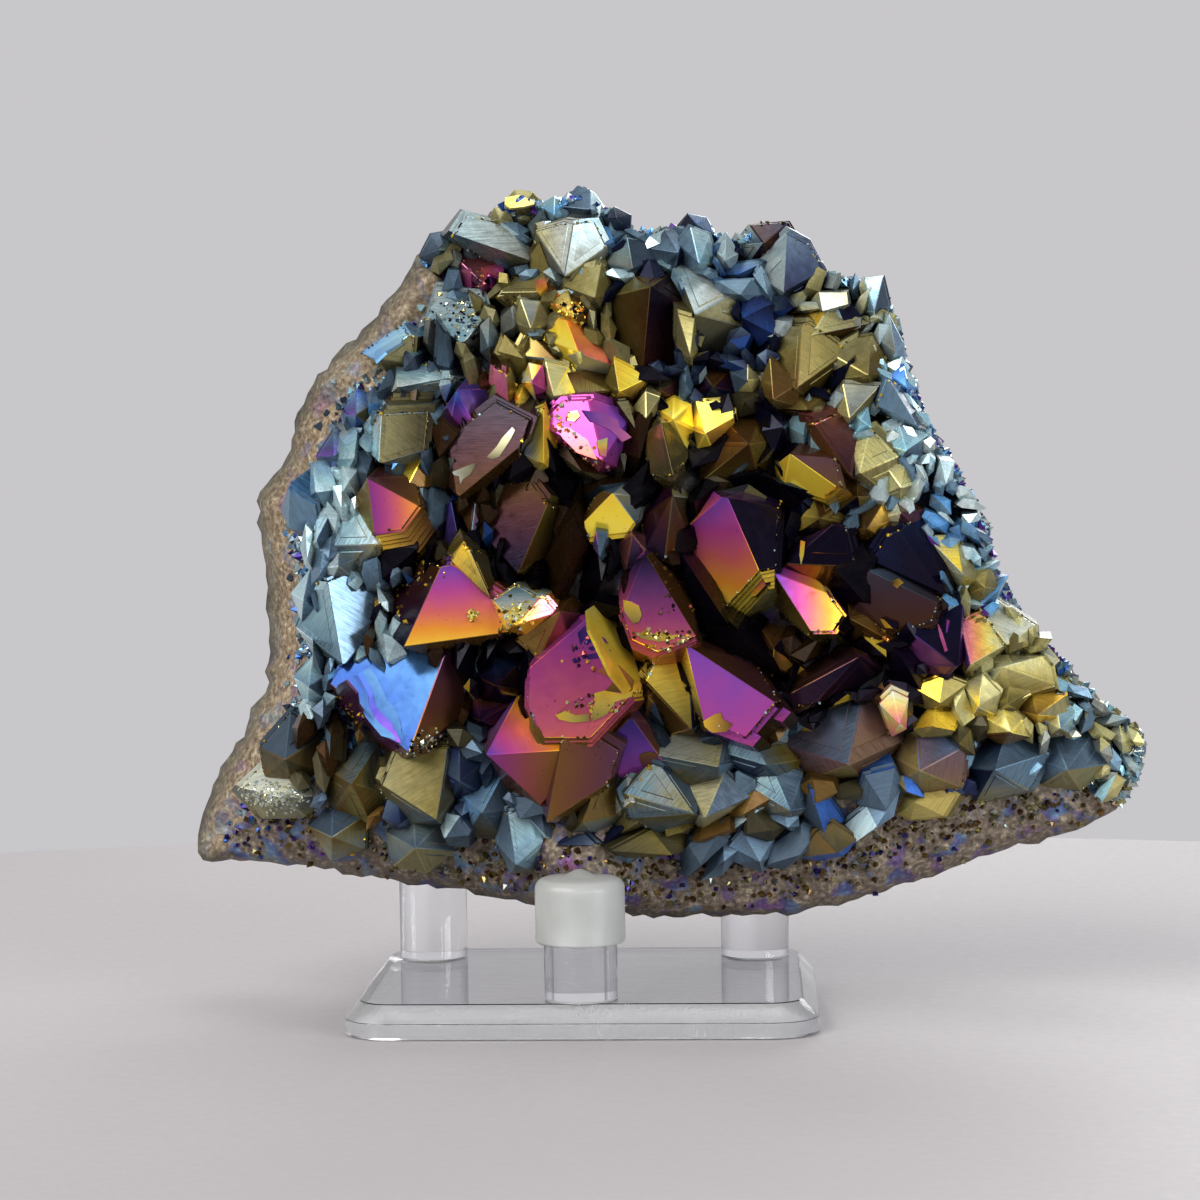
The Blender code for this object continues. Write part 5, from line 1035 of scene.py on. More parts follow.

# %% thin plates: crystal, rise, paint, outline as X,Z
# The cream plates on the bright magenta point are painted highlights.
PLATES = table("""
sky blue point|0.1|plum>purple E|-43.5,57.75 -41.25,60.5 -39,61.75 -37.25,59.5 -37.75,57 -36.5,54.75
 -33.75,51.75 -30.75,50.5 -29.25,48.75 -33,48.5 -36.5,51.25 -40,54.25 -42.75,55.5
sky blue point|0.22|lapis>azure NE|-36.25,63.25 -34.75,61.25 -34,59.75 -33,57.75 -31.75,56.5 -31,55
 -30.5,53.75 -30.25,52.25 -29.5,50.5 -29,49 -30.75,50.5 -33.75,51.75 -36.5,54.75 -37.75,57 -37.25,59.5
 -39,61.75
sky blue point|0.4|blue>violet|-37.5,62.5 -36.5,60.75 -35.5,59 -35,56.75 -33.25,55 -32,53.75 -31,52
 -30.25,50.5 -33.75,51.75 -36.5,54.75 -37.75,57 -37.25,59.5 -39,61.75
sky blue point|0.56|lapis>azure|-38.25,62 -37,60 -36.25,58.5 -36,56.5 -35,54.75 -33.5,53.25 -32,52.25 -31,51
 -33.75,51.75 -36.5,54.75 -37.75,57 -37.25,59.5 -39,61.75
smoky chipped point|0.08|grey>slate|-23.25,95.75 -23,98.25 -21.75,99.5 -21,99.25 -21.25,97.75 -22.25,96.25
 -22.75,95.25
smoky chipped point|0.08|grey>smoke E|-21,97 -19,97.75 -16.75,98.5 -16.75,98 -17.75,96.5 -19,95.75
 -19.5,94.75 -19.75,96.25 -20.75,96.5
smoky chipped point|0.1|white>smoke|-14.75,99.5 -13,101.25 -12,102.75 -10.25,104.5 -9.75,104 -10.5,102.5
 -11.5,101 -12.5,99.5 -13.75,99
sky strip|0.2|sky>cyan E|-35,118.25 -32,120 -29.75,120.75 -30,119.5 -32.75,118 -34.5,116.25 -35,117.5
great magenta point|0.14|magenta>rose|-2.75,56 -0.5,57.75 3,59 3.5,57.75 2.5,55.25 0.25,55 -1.5,55.5
great magenta point|0.26|rose>bronze|3.75,62.75 6.5,64.75 8.25,63 10,61.25 9.75,59.5 6.75,59.25 5.25,59.5
 6.75,61.25
great magenta point|0.3|gold>brass|3.25,59 5,59.5 8,59 10,59.5 9.75,58.5 6.75,57.5 5.5,55.5 3,54.25 2.75,56
 3.5,57.75
great magenta point|0.22|gold>brass E|-3.5,55.25 -1.75,56 0,55.25 2.25,55.5 2.5,54.25 -0.5,54 -2.75,54.5
great magenta point|0.08|indigo>purple E|0.5,69.25 1.75,70.5 3.5,69.5 3,68.75 1.5,68 1,67.25
great magenta point|0.08|indigo>purple E|2,68 4,69 5.25,68.25 5.75,67.5 4,68.25 2.75,67.5
great magenta point|0.08|indigo>purple E|2.25,66.75 4.25,67.5 6.25,66.25 5.75,65.75 4.25,66.5 2.75,66.25
great magenta point|0.08|indigo>purple E|1.75,65.5 4.25,66 6.5,64.75 6.25,64.25 4.25,65 2.25,64.75
plum point|0.2|gold>brass|8.25,74.75 9.5,74.5 11,73.75 11.5,72.25 11,71 10,70.75 9,72 8.5,72.75
plum point|0.16|brass>gold E|10.25,69.25 13,69 15,69.25 15.75,68.75 18,69 16.25,68 14.25,67.75 11.25,68.25
violet triangle|0.2|gold>bronze E|21.75,54 23.75,55.25 24.75,55.5 25.25,54.25 26.75,53.5 25.75,52.25
 23.25,52 22,53
violet shield|0.12|bronze>plum|10.75,48 12.5,48.5 13.75,48 13.75,46.75 11.25,45.5 10.5,47
bright magenta point|0.25|cream>pink|-0.75,107 0.75,107.25 1.25,106.25 0.25,105.25 -1,105.5
bright magenta point|0.12|violet>pink E|1.75,107.25 5.25,106.75 7.75,105.5 8,104.25 9.25,103.25 10,102.5
 8.5,101.75 6.5,103.75 3,105.5
bright magenta point|0.2|cream>pink|4.25,102 6,102.5 5.75,99.25 4.75,99.5
bright magenta point|0.1|pink>rose|-3,104.75 -0.5,104.25 2.5,102.25 4.25,98.75 0.75,100 -1.75,102.5
orange pink point|0.15|cream>straw|-1,116.75 1.5,117.25 1.75,115.5 0.5,115
bronze dome|0.15|silver>slate N|26.5,95 28,96.75 29.75,98 30,97.5 28.5,96.25 27,94.5
bronze dome|0.15|ice>silver E|28,92.75 29.75,93.5 31.25,94 31,93.25 29,92.5
navy point|0.1|pink>magenta|62,70.25 62.25,70 63,68 63.75,65.25 63.25,65 62.5,67.5
navy point|0.1|magenta>violet|63.75,70.5 64.25,70.25 63.75,68.25 63.5,68.25
black point|0.12|sky>slate|62.75,79 63.25,78.75 64.5,76.5 66,74.25 65.5,73.75 64.25,75.75 63,77.5
grey violet point|0.12|bronze>gold E|54.25,77.5 55.5,77.75 56.25,77 55.25,76.5 54.5,77
broad yellow point|0.1|olive>khaki E|74.5,66 75.5,68 76.25,67.5 76.25,66 77.25,66.25 78.5,65.5 76.25,65
 74.5,64.5
plum shadow|0.15|orange>straw|38.75,84.5 39.5,84.25 39.25,82 38.75,80.25 38.5,82
great purple point|0.15|straw>gold|37.25,91.25 37.75,91.5 37.75,89.25 37.25,89
great purple point|0.15|bronze>gold|36.5,90.5 37,90.5 37,86.25 36.5,86.75
magenta hollow point|0.35|pink>magenta|-21.25,132.25 -18.75,132.5 -18.25,131 -18.25,129.25 -19.75,129.5
 -21.25,130.5
magenta hollow point|0.35|rose>magenta E|-16.5,132.5 -15,133 -12.75,133.25 -12.5,132 -13.5,131 -15.5,131.75
magenta hollow point|0.3|violet>magenta|-14.75,131 -13,131.25 -13.25,129.75 -14.5,129
olive gold block|0.12|rose>gold|-6.75,130 -5,130.5 -4.5,128.75 -5.75,127.5 -6.5,128.25
honey knob|0.12|lemon>straw E|-12.25,145 -10,145.5 -7.25,144.5 -7,143.75 -8.75,143.25 -11.25,143
 -12.25,143.75
navy crown point|0.2|silver>ice|31.75,131 35,133.5 35.75,133.5 36,133 34,131 33,129.5 32,130.25
great magenta point|0.24|lemon>gold|2.25,73.25 4.5,74.5 6.5,71 9.5,65.5 11,61 9,59.25 6.5,62.5 4.5,66.5
 2.75,70
""")
print(len(PLATES), "plates")

# %% crusts: crystal, middle, spread, grains, tones
# White grains on the great purple point and the bronze shadow are painted glints; the frosted patch's white
# is partly its frosting and partly a painted highlight.
CRUSTS = table("""
pink blade|-29,80|2.6,1.6|70|gold umber bronze black straw
pink blade|-32,74|1.2,4|40|umber bronze gold
gold grain|-17.2,73.8|1.4,1.8|90|lemon white gold straw bronze
gold sparkle|-10.8,72.8|1.8,1.2|80|lemon white gold cream bronze
sky blue point|-40,55.5|2.2,1.8|70|bronze gold purple plum
sky blue point|-26,49.8|2.2,1.2|110|grey slate straw white black
great magenta point|4.5,57|3.6,0.9|90|gold straw bronze umber
great magenta point|1,65|1,2|25|gold rose indigo
plum point|15,68.6|2.6,0.7|60|gold bronze straw umber
plum point|17.5,79|1.8,3|40|umber bronze rose black
great purple point|18.6,90.5|1,1|30|white cream pink bronze
bright magenta point|0.5,99.5|2.4,1.5|80|orange rose bronze pink cream
bright magenta point|-2,104|1.2,1.5|40|rose cream orange
speckled slab|-20,123|3.2,3.4|160|slate black silver ice straw navy
gold crust|0.2,125|1.6,1.4|70|gold lemon black orange
magenta hollow point|-15.8,130|2,1.6|50|rose gold maroon magenta
olive gold block|-10,126|2,1|40|gold straw bronze
pale gold roof|43.5,127|3.5,1.3|120|silver straw slate cream
frosted patch|-54,40|3.2,1.5|260|white silver white cream
bronze shadow|53.5,67.5|1.2,1.2|40|white orange cream gold
""")
print(len(CRUSTS), "crusts")


# %% laying plates on a facet
# The side faces of a plate get a painted shade.
PLATE_FOOT, PLATE_EDGE_PAINTED_SHADE = 0.3, 0.7
FACING_FRONT = -0.02


def surface_at(solid, x, z):
    """Where a line of sight along Y meets a crystal, and the normal there."""
    planes = [p for p in solid.facets + solid.walls if p[0][1] < FACING_FRONT]
    depths = [(d - n[0] * x - n[2] * z) / n[1] for n, d in planes]
    k = int(np.argmax(depths))
    return np.array([x, depths[k], z]), planes[k][0]


def add_plate(pile, solid, rise, paint, outline):
    """A flat plate on one facet, with the given outline seen from the front."""
    spot, normal = surface_at(solid, *np.mean(outline, axis=0))
    level = normal @ spot + rise
    front = [np.array([x, (level - normal[0] * x - normal[2] * z) / normal[1], z]) for x, z in outline]
    rear = [p - normal * (rise + PLATE_FOOT) for p in front]
    start, count = len(pile.corners), len(front)
    pile.corners.extend(front + rear)
    pile.seed += 1
    rings = [list(range(count))]
    rings += [[k, count + k, count + (k + 1) % count, (k + 1) % count] for k in range(count)]
    flip = np.cross(front[1] - front[0], front[2] - front[0]) @ normal < 0
    across = np.cross(solid.axis, normal)
    tones = tone_spots(read_paint(paint), normal, np.array(front), 1.0)
    for ring in rings:
        ring = ring[::-1] if flip else ring
        shade = 1.0 if len(ring) == count else PLATE_EDGE_PAINTED_SHADE
        pile.faces.append([start + k for k in ring])
        for k in ring:
            film, strong, light = tones[k % count]
            spot = pile.corners[start + k]
            pile.tones.append((film, strong, light * shade, 0.0))
            pile.grain.append((spot @ solid.axis, spot @ across, pile.seed * SEED_STEP))


# %% one tiny grain
GRAIN_SIDES, GRAIN_ARM, GRAIN_LIGHT = 5, (0.7, 1.25), (0.5, 1.15)


def pick(random, names):
    return names[int(random.integers(0, len(names)))]


def add_grain(pile, base, normal, wide, tall, tone, random):
    """A tiny many-sided point with a foot below the surface."""
    side = np.cross(normal, random.normal(0.0, 1.0, 3))
    side /= np.linalg.norm(side)
    other = np.cross(normal, side)
    ring = []
    for k in range(GRAIN_SIDES):
        turn = k * math.tau / GRAIN_SIDES
        arm = wide * random.uniform(*GRAIN_ARM)
        ring.append(base + side * arm * math.cos(turn) + other * arm * math.sin(turn))
    film, strong, light = tone
    light *= random.uniform(*GRAIN_LIGHT)
    pile.seed += 1
    start = len(pile.corners)
    pile.corners.extend(ring + [base + normal * tall, base - normal * wide])
    for k in range(GRAIN_SIDES):
        n = (k + 1) % GRAIN_SIDES
        pile.faces.append([start + k, start + n, start + GRAIN_SIDES])
        pile.faces.append([start + n, start + k, start + GRAIN_SIDES + 1])
    pile.tones.extend([(film / 100.0, strong, light, 0.0)] * (6 * GRAIN_SIDES))
    pile.grain.extend([(0.0, 0.0, pile.seed * SEED_STEP)] * (6 * GRAIN_SIDES))


# %% crust and crumbs
CRUST_WIDE, CRUST_LEAN, CRUST_TALL, CRUST_BACK = (0.15, 0.55), 0.5, (0.5, 1.3), 0.5
GIRDLE_BAND, CRUMB_SPREAD, CRUMB_LEAN, CRUMB_TALL = 0.45, 0.15, 0.4, (0.4, 1.2)


def crust(pile, solid, x, z, spread, count, names, random):
    """Grains sprinkled on a crystal's own surface, but not behind it."""
    for _ in range(count):
        px, pz = random.normal(x, spread[0]), random.normal(z, spread[1])
        spot, normal = surface_at(solid, px, pz)
        if spot[1] > solid.middle[1] + CRUST_BACK * solid.radius:
            continue
        normal = unit(normal + random.normal(0.0, CRUST_LEAN, 3))
        wide = random.uniform(*CRUST_WIDE)
        tone = TONES[pick(random, names)]
        add_grain(pile, spot, normal, wide, wide * random.uniform(*CRUST_TALL), tone, random)


def edge_crumbs(pile, random, share, names):
    """Crumbs along the girdle edges of the large crystals."""
    for facets, walls, root, axis, middle, radius in SOLIDS.values():
        if radius < TERRACE_FROM:
            continue
        corners, rings = faces_of(facets + walls + [root])
        for ring in rings[:len(facets)]:
            for a, b in zip(ring, ring[1:] + ring[:1]):
                start, end = corners[a], corners[b]
                if abs((start + end) / 2 @ axis - middle @ axis) > radius * GIRDLE_BAND:
                    continue
                length = np.linalg.norm(end - start)
                for _ in range(int(random.poisson(length * share))):
                    spot = start + (end - start) * random.random() + random.normal(0.0, CRUMB_SPREAD, 3)
                    wide = abs(random.normal(0.1, 0.13)) + 0.08
                    away = unit(unit(spot - middle) + random.normal(0.0, CRUMB_LEAN, 3))
                    tone = TONES[pick(random, names)]
                    add_grain(pile, spot, away, wide, wide * random.uniform(*CRUMB_TALL), tone, random)


# %% [markdown]
# ## Filling the gaps
#
# Between the named crystals the bed is packed with smaller ones. They are scattered with a seeded random
# generator wherever no large crystal stands. Each leans like its large neighbour, as real ones do because
# they grow on it, and takes its colours from the zone: body tones, then the tones of a rare bright facet,
# which is a painted glint. In the heart the body tones black, umber and navy are painted shade.

# %% zones of colour: X,Z, body tones, bright tones as painted glints
ZONES = [(*places(spot)[0], body.split(), bright.split()) for spot, body, bright in table("""
-46,64|steel ice slate|cyan sky ice
-44,90|slate steel ice|ice sky violet
-35,112|steel slate ice|sky cyan ice
-26,128|steel khaki grey|ice straw
-10,136|grey steel khaki|ice straw
8,138|steel navy ice|ice sky
30,134|steel navy blue|ice sky cyan
46,126|silver khaki straw|straw cream
30,120|navy slate steel|blue ice
-6,124|khaki brass slate|gold straw
58,108|ice silver cyan|cyan ice
64,96|ice silver steel|sky ice
71,84|ice sky steel|sky violet
76,66|straw khaki brass|cream
86,54|straw steel grey|cyan cream
93,46|steel grey khaki|cyan straw
66,50|smoke brass olive|gold straw
52,62|black umber|gold orange
40,70|black umber|gold
28,76|black navy|gold teal
10,74|black navy|gold teal
0,84|black umber|gold teal
-14,72|black umber|blue gold
-26,62|black umber|gold
14,96|black umber smoke|khaki
32,108|black navy smoke|khaki
-16,100|umber black smoke|khaki plum
-38,52|umber smoke bronze|steel
-50,46|smoke umber slate|steel
-30,38|slate smoke navy|steel
-10,38|slate steel navy|ice
12,36|smoke olive slate|khaki
32,40|slate steel bronze|teal ice
52,40|smoke slate bronze|blue
76,40|slate steel navy|ice khaki
-58,36|smoke umber slate|blue
""")]
GLINT_SHARE, HEART_GLINT_LOSS = 0.3, 0.8
NEAR_TONES = 14


def zone_tones(x, z, random):
    """Body tones and bright tones, which are painted glints, of one of the two nearest zones."""
    near = sorted(ZONES, key=lambda s: (s[0] - x) ** 2 + (s[1] - z) ** 2)[:2]
    first, second = (math.hypot(s[0] - x, s[1] - z) + 0.1 for s in near)
    return (near[0] if random.random() < second / (first + second) else near[1])[2:]


def filler_paint(x, z, random):
    """Paint for one filler: mostly one dull tone, sometimes with one bright facet as a painted glint."""
    body, bright = zone_tones(x, z, random)
    first = body[min(int(abs(random.normal(0.0, 0.5)) * len(body)), len(body) - 1)]
    other = pick(random, body)
    ways = list(WAYS)
    paint = first
    if abs(tone_step(TONES[first], TONES[other])) < NEAR_TONES:
        paint += ">" + other + " " + pick(random, ways)
    if random.random() < GLINT_SHARE * (1.0 - HEART_GLINT_LOSS * in_heart(x, z)):
        paint += "; " + pick(random, ways) + ": " + pick(random, bright)
    return paint


print(len(ZONES), "zones")


# %% the girdle of a filler, and its gap to another
def ring_gap(x, z, ring):
    """Signed distance from a ring of corners, negative inside, and the nearest edge's direction."""
    a = np.array(ring)
    b = np.roll(a, -1, axis=0)
    gaps = gaps_to(x, z, a, b)[0]
    k = int(gaps.argmin())
    edge = b[k] - a[k]
    return (-gaps[k] if in_ring(x, z, a, b) else gaps[k]), math.atan2(edge[1], edge[0])


def filler_ring(x, z, size, stretch, along, random):
    """A ragged five or six-sided girdle, longer one way than the other."""
    start = random.uniform(0, math.tau)
    sides = int(random.integers(5, 7))
    ring = []
    for k in range(sides):
        turn = start - (k + random.uniform(-0.22, 0.22)) * math.tau / sides
        u = size * stretch * math.cos(turn) * random.uniform(0.8, 1.15)
        v = size / stretch * math.sin(turn) * random.uniform(0.8, 1.15)
        ring.append((x + u * math.cos(along) - v * math.sin(along),
                     z + u * math.sin(along) + v * math.cos(along)))
    return ring


# %% scattering the fillers
CLEAR_OF_EDGE = {"left": 11.5, "bottom": 12.5, "other": 1.2}
LOW_PART, LOW_OVERLAP, HIGH_OVERLAP = 50, 0.2, 0.9
SMALLEST, LARGEST = 1.2, 3.9
FILLER_SIZE, SIZE_PER_ROOM, SIZE_SPREAD, RIM_SIZE = 1.8, 0.8, (-0.5, 0.8), (1.0, 2.4)
TAIL_FROM, FLANK_FROM, FLANK_WIDE = 70, 50, 9
CLOSEST, NEIGHBOURS = 0.6, 8
SKIRT_TOP, SKIRT_SINK = 46.0, 1.4
FILLER_SINK, HEART_SINK, RISE_WITH_SIZE = (1.2, 3.2), 3.0, 0.4


def fillers(rows, random, tries):
    """Rows for small crystals in the gaps between the large ones."""
    rings = [row[5] for row in rows]
    centres = np.array([np.mean(ring, axis=0) for ring in rings])
    leans = np.array([row[4] for row in rows]) - centres
    made, spots = [], []
    for _ in range(tries):
        x, z = random.uniform(LOW, HIGH)
        if not inside_edge(x, z):
            continue
        gap, _, side = edge_distance(x, z)
        if gap < CLEAR_OF_EDGE[side]:
            continue
        near = np.argsort(np.hypot(*(centres - (x, z)).T))[:NEIGHBOURS]
        rooms = [ring_gap(x, z, rings[k]) for k in near]
        room, beside = min(rooms)
        if room < -(LOW_OVERLAP if z < LOW_PART else HIGH_OVERLAP):
            continue
        size = FILLER_SIZE + SIZE_PER_ROOM * room + random.uniform(*SIZE_SPREAD)
        size = min(max(size, SMALLEST), LARGEST, 0.8 + 0.5 * gap)
        size *= 1.0 + 0.5 * in_heart(x, z)
        if x > TAIL_FROM or (x > FLANK_FROM and gap < FLANK_WIDE):
            size = min(size, random.uniform(*RIM_SIZE))
        if any((x - p) ** 2 + (z - q) ** 2 < (CLOSEST * (size + s)) ** 2 for p, q, s in spots):
            continue
        spots.append((x, z, size))
        if side == "left":
            stretch = random.uniform(1.2, 1.8)
            along = math.radians(90 + random.normal(0, 18))
        else:
            stretch = random.uniform(1.1, 1.7) + 0.4 * heart_share(x, z)
            along = beside + random.normal(0, 0.2)
        ring = filler_ring(x, z, size, stretch, along, random)
        lean = leans[int(near[rooms.index((room, beside))])]
        lean = lean / (np.linalg.norm(lean) + 1.0) * size * random.uniform(0.4, 0.9)
        lean = lean + random.uniform(-0.3, 0.3, 2) * size
        flats = [(0, 2)] if random.random() < 0.6 else []
        out = -random.uniform(*FILLER_SINK) - HEART_SINK * in_heart(x, z) + RISE_WITH_SIZE * size
        out -= SKIRT_SINK if z < SKIRT_TOP else 0.0
        made.append(("", "", out, flats, (x + lean[0], z + lean[1]), ring, filler_paint(x, z, random)))
    return made


# %% [markdown]
# ## The rock under the crystals
#
# Behind the points lies a sawn and broken slab: a granular tan band where the quartz starts, then a lumpy
# olive-grey rind. A sculpt would do, but two height fields over one triangulation give a closed mesh that
# fits the crystals exactly. Grains and pits are real displacement, read from noise at two sizes.

# %% the slab as a fine closed mesh
GRID = 1.7
RAGGED, RAGGED_SIZE, RAGGED_SEED = 0.9, 2.6, 1.9
TAN_BAND, TAN_FADE = {"left": 16.0, "bottom": 22.0, "other": 1.5}, 3.0
BARE_STRIP, RIM_BARE, BACK_BARE, BACK_BARE_RUN = 4.5, 0.3, 0.4, 10.0
EDGE_ROOM = 0.75


def fine_outline(step):
    """The outline cut into short pieces, with a slightly ragged line."""
    points = []
    for (ax, az, ay), (bx, bz, by) in zip(EDGE_A, EDGE_B):
        length = math.hypot(bx - ax, bz - az)
        count = max(int(length / step), 1)
        across = np.array([bz - az, ax - bx]) / length
        for k in range(count):
            t = k / count
            x, z = ax + (bx - ax) * t, az + (bz - az) * t
            ragged = RAGGED * ripple(x, 2, z, RAGGED_SIZE, RAGGED_SEED) * min(k, 1)
            points.append((x + across[0] * ragged, z + across[1] * ragged, ay + (by - ay) * t))
    return points


def rock_mesh():
    """Corners, faces and zones (tan, bare rind, foot) of the slab: two skins that meet at the outline."""
    outline = fine_outline(GRID)
    rim = len(outline)
    points = [Vector(p[:2]) for p in outline]
    tall = GRID * math.sin(math.pi / 3)
    for row in range(int((HIGH[1] - LOW[1]) / tall)):
        for column in range(int((HIGH[0] - LOW[0]) / GRID)):
            x = LOW[0] + (column + 0.5 * (row % 2)) * GRID
            z = LOW[1] + row * tall
            if inside_edge(x, z) and edge_distance(x, z)[0] > GRID * EDGE_ROOM:
                points.append(Vector((x, z)))
    flat = delaunay_2d_cdt(points, [], [list(range(rim))], 1, 1e-5)
    verts, front, back, zone = [], [], [], []
    for index, (x, z) in enumerate(flat[0]):
        sources = [s for s in flat[3][index] if s < rim]
        gap, _, side = edge_distance(x, z)
        tan = min(max((TAN_BAND[side] - gap) / TAN_FADE, 0.0), 1.0)
        bare = max(1.0 - gap / BARE_STRIP, 0.0) if side == "left" else 0.0
        foot = float(side == "bottom")
        front.append(len(verts))
        if sources:
            verts.append((x, outline[min(sources)][2], z))
            zone.append((1.0, max(bare, RIM_BARE), foot))
        else:
            verts += [(x, rock_front(x, z), z), (x, rock_back(x, z), z)]
            zone += [(tan, bare, foot), (0.0, min(BACK_BARE + gap / BACK_BARE_RUN, 1.0), 0.0)]
        back.append(len(verts) - 1)
    faces = []
    for face in flat[2]:
        if any(front[i] != back[i] for i in face):
            faces.append([front[i] for i in face])
            faces.append([back[i] for i in reversed(face)])
    return verts, faces, zone


# %% grains, lumps and pits as displacement
GRAIN_SIZE, GRAIN_HEIGHT, GRAIN_LEVEL, RIND_GRAIN = 2.3, 1.1, 0.25, 0.6
LUMP_SIZE, LUMP_HEIGHT = 5.5, 0.8
PIT_SIZE, PIT_DEPTH, PIT_FROM, PIT_PLACE = 3.1, 1.6, 0.25, Vector((4.0, 0, 9.0))


def grains(spot):
    """Rounded grains: high in the middle of each cell, low between cells."""
    near = noise.voronoi(spot / GRAIN_SIZE)[0]
    return min(near[1] - near[0], 0.5)


def make_rock(mat):
    verts, faces, zone = rock_mesh()
    mesh = new_mesh("rock_rind", verts, faces, 1.0)
    bm = bmesh.new()
    bm.from_mesh(mesh)
    bmesh.ops.recalc_face_normals(bm, faces=bm.faces)
    bm.normal_update()
    moves = []
    for vert, (tan, skin, _) in zip(bm.verts, zone):
        rough = GRAIN_HEIGHT * (grains(vert.co) - GRAIN_LEVEL) * (1.0 if tan > 0.3 else RIND_GRAIN)
        lump = LUMP_HEIGHT * noise.noise(vert.co / LUMP_SIZE) * skin
        pit = -PIT_DEPTH * max(noise.noise(vert.co / PIT_SIZE + PIT_PLACE) - PIT_FROM, 0.0) * skin
        moves.append(vert.normal * (rough + lump + pit))
    for vert, move in zip(bm.verts, moves):
        vert.co = (vert.co + move) * MM
    for face in bm.faces:
        face.smooth = True
    bm.to_mesh(mesh)
    bm.free()
    layer = mesh.attributes.new("zone", "FLOAT_COLOR", "POINT")
    layer.data.foreach_set("color", np.array([(*z, 1.0) for z in zone], np.float32).ravel())
    mesh.materials.append(mat)
    finish_piece("rock_rind", mesh)


# %% [markdown]
# ## Druse
#
# Druse is a crust of crystals too small to be seen one by one. It glitters along the rims, where the film
# runs from ice through sky to violet. Each grain is a real five-sided point, so that it glitters in turn
# as the piece is moved, which a painted speckle never does.

# %% grains of druse
DRUSE_LEAN, SLOPE_STEP = 0.45, 0.6


def scatter_druse(pile, random, count, accept, size, tones):
    """Tiny points on the front of the slab, where accept(x, z) allows."""
    made = 0
    while made < count:
        x, z = random.uniform(LOW, HIGH)
        if not inside_edge(x, z) or not accept(x, z, random):
            continue
        made += 1
        y = rock_front(x, z)
        slope_x = (rock_front(x + SLOPE_STEP, z) - y) / SLOPE_STEP
        slope_z = (rock_front(x, z + SLOPE_STEP) - y) / SLOPE_STEP
        normal = unit(np.array([slope_x, -1.0, slope_z]) + random.normal(0.0, DRUSE_LEAN, 3))
        wide = random.uniform(*size)
        tone = TONES[pick(random, tones(x, z))]
        add_grain(pile, np.array([x, y, z]), normal, wide, wide * random.uniform(0.9, 1.7), tone, random)


# %% where druse lies, and its tones
RIM_FROM_X, RIM_FROM_Z, TAIL_FROM_X, RIM_WIDE, TAIL_WIDE, RIM_FUZZ = 40, 118, 62, 5.0, 9.0, 2.0
TAIL_TOP, FOOT_CORNER = 60, -40
FLANK_TONES = "ice sky blue cyan steel indigo silver slate".split()
RIM_TONES = "ice sky cyan blue violet steel silver".split()
TAIL_TONES = "steel silver straw khaki cyan ice white".split()
CORNER_TONES = "indigo blue bronze khaki slate violet bronze".split()
FOOT_TONES = "bronze khaki olive clay umber khaki bronze grey indigo".split()


def strip(side, low, high, fuzz):
    """A strip inside one side of the outline, from low to high mm away, with fuzzy edges."""
    def accept(x, z, random):
        gap, _, own = edge_distance(x, z)
        return own == side and low < gap + random.normal(0, fuzz) < high
    return accept


def on_rim(x, z, random):
    """The thin upper and right rim, which widens towards the tail."""
    gap, _, side = edge_distance(x, z)
    wide = TAIL_WIDE if x > TAIL_FROM_X else RIM_WIDE
    return side == "other" and gap < wide + random.normal(0, RIM_FUZZ) and (x > RIM_FROM_X or z > RIM_FROM_Z)


# %% [markdown]
# ## Materials from nodes
#
# A few more helpers keep the node trees short: sums, noises, ramps and the links to the shader that every
# finish here needs. Colours are written as they look on a screen and turned into light.

# %% sums and noises
def math_node(tree, operation, a, b=0.0):
    return add_node(tree, "Math", [(0, a), (1, b)], operation=operation).outputs[0]


def times(tree, a, b):
    return math_node(tree, "MULTIPLY", a, b)


def plus(tree, a, b):
    return math_node(tree, "ADD", a, b)


def minus(tree, a, b):
    return math_node(tree, "SUBTRACT", a, b)


def noise_node(tree, where, scale, detail=3.0, rough=0.5):
    sockets = [("Vector", where), ("Scale", scale), ("Detail", detail), ("Roughness", rough)]
    return add_node(tree, "TexNoise", sockets).outputs["Fac"]


def lines_node(tree, where, stretch, detail, rough=0.5):
    """Noise stretched into lines; the smallest number in stretch lies along them."""
    where = add_node(tree, "VectorMath", [(0, where), (1, stretch)], operation="MULTIPLY").outputs[0]
    return noise_node(tree, where, 1.0, detail, rough)


# %% ramps, stored values and the links to the shader
def ramp_node(tree, value, stops):
    made = add_node(tree, "ValToRGB", [("Fac", value)])
    ramp = made.color_ramp
    while len(ramp.elements) < len(stops):
        ramp.elements.new(0.5)
    for element, (place, colour) in zip(ramp.elements, stops):
        element.position = place
        element.color = (*linear(colour), 1.0)
    return made.outputs["Color"]


def darken(tree, colour, light):
    """A colour times a brightness."""
    grey = add_node(tree, "CombineColor", [(0, light), (1, light), (2, light)]).outputs[0]
    return mix_colour(tree, 1.0, colour, grey, "MULTIPLY")


def stored(tree, name):
    """A value stored with the shape: its three numbers, and its alpha."""
    outputs = add_node(tree, "Attribute", attribute_name=name).outputs
    return (*add_node(tree, "SeparateColor", [(0, outputs["Color"])]).outputs[:3], outputs["Alpha"])


def new_material(name):
    mat = bpy.data.materials.new(name)
    mat.use_nodes = True
    tree = mat.node_tree
    return mat, tree, tree.nodes["Principled BSDF"], add_node(tree, "TexCoord").outputs["Object"]


def dress(tree, shader, colour, rough, height, strength, distance):
    """Link a colour, a roughness and a bump to the shader."""
    bump = add_node(tree, "Bump", [("Strength", strength), ("Distance", distance), ("Height", height)])
    tree.links.new(colour, shader.inputs["Base Color"])
    tree.links.new(rough, shader.inputs["Roughness"])
    tree.links.new(bump.outputs["Normal"], shader.inputs["Normal"])
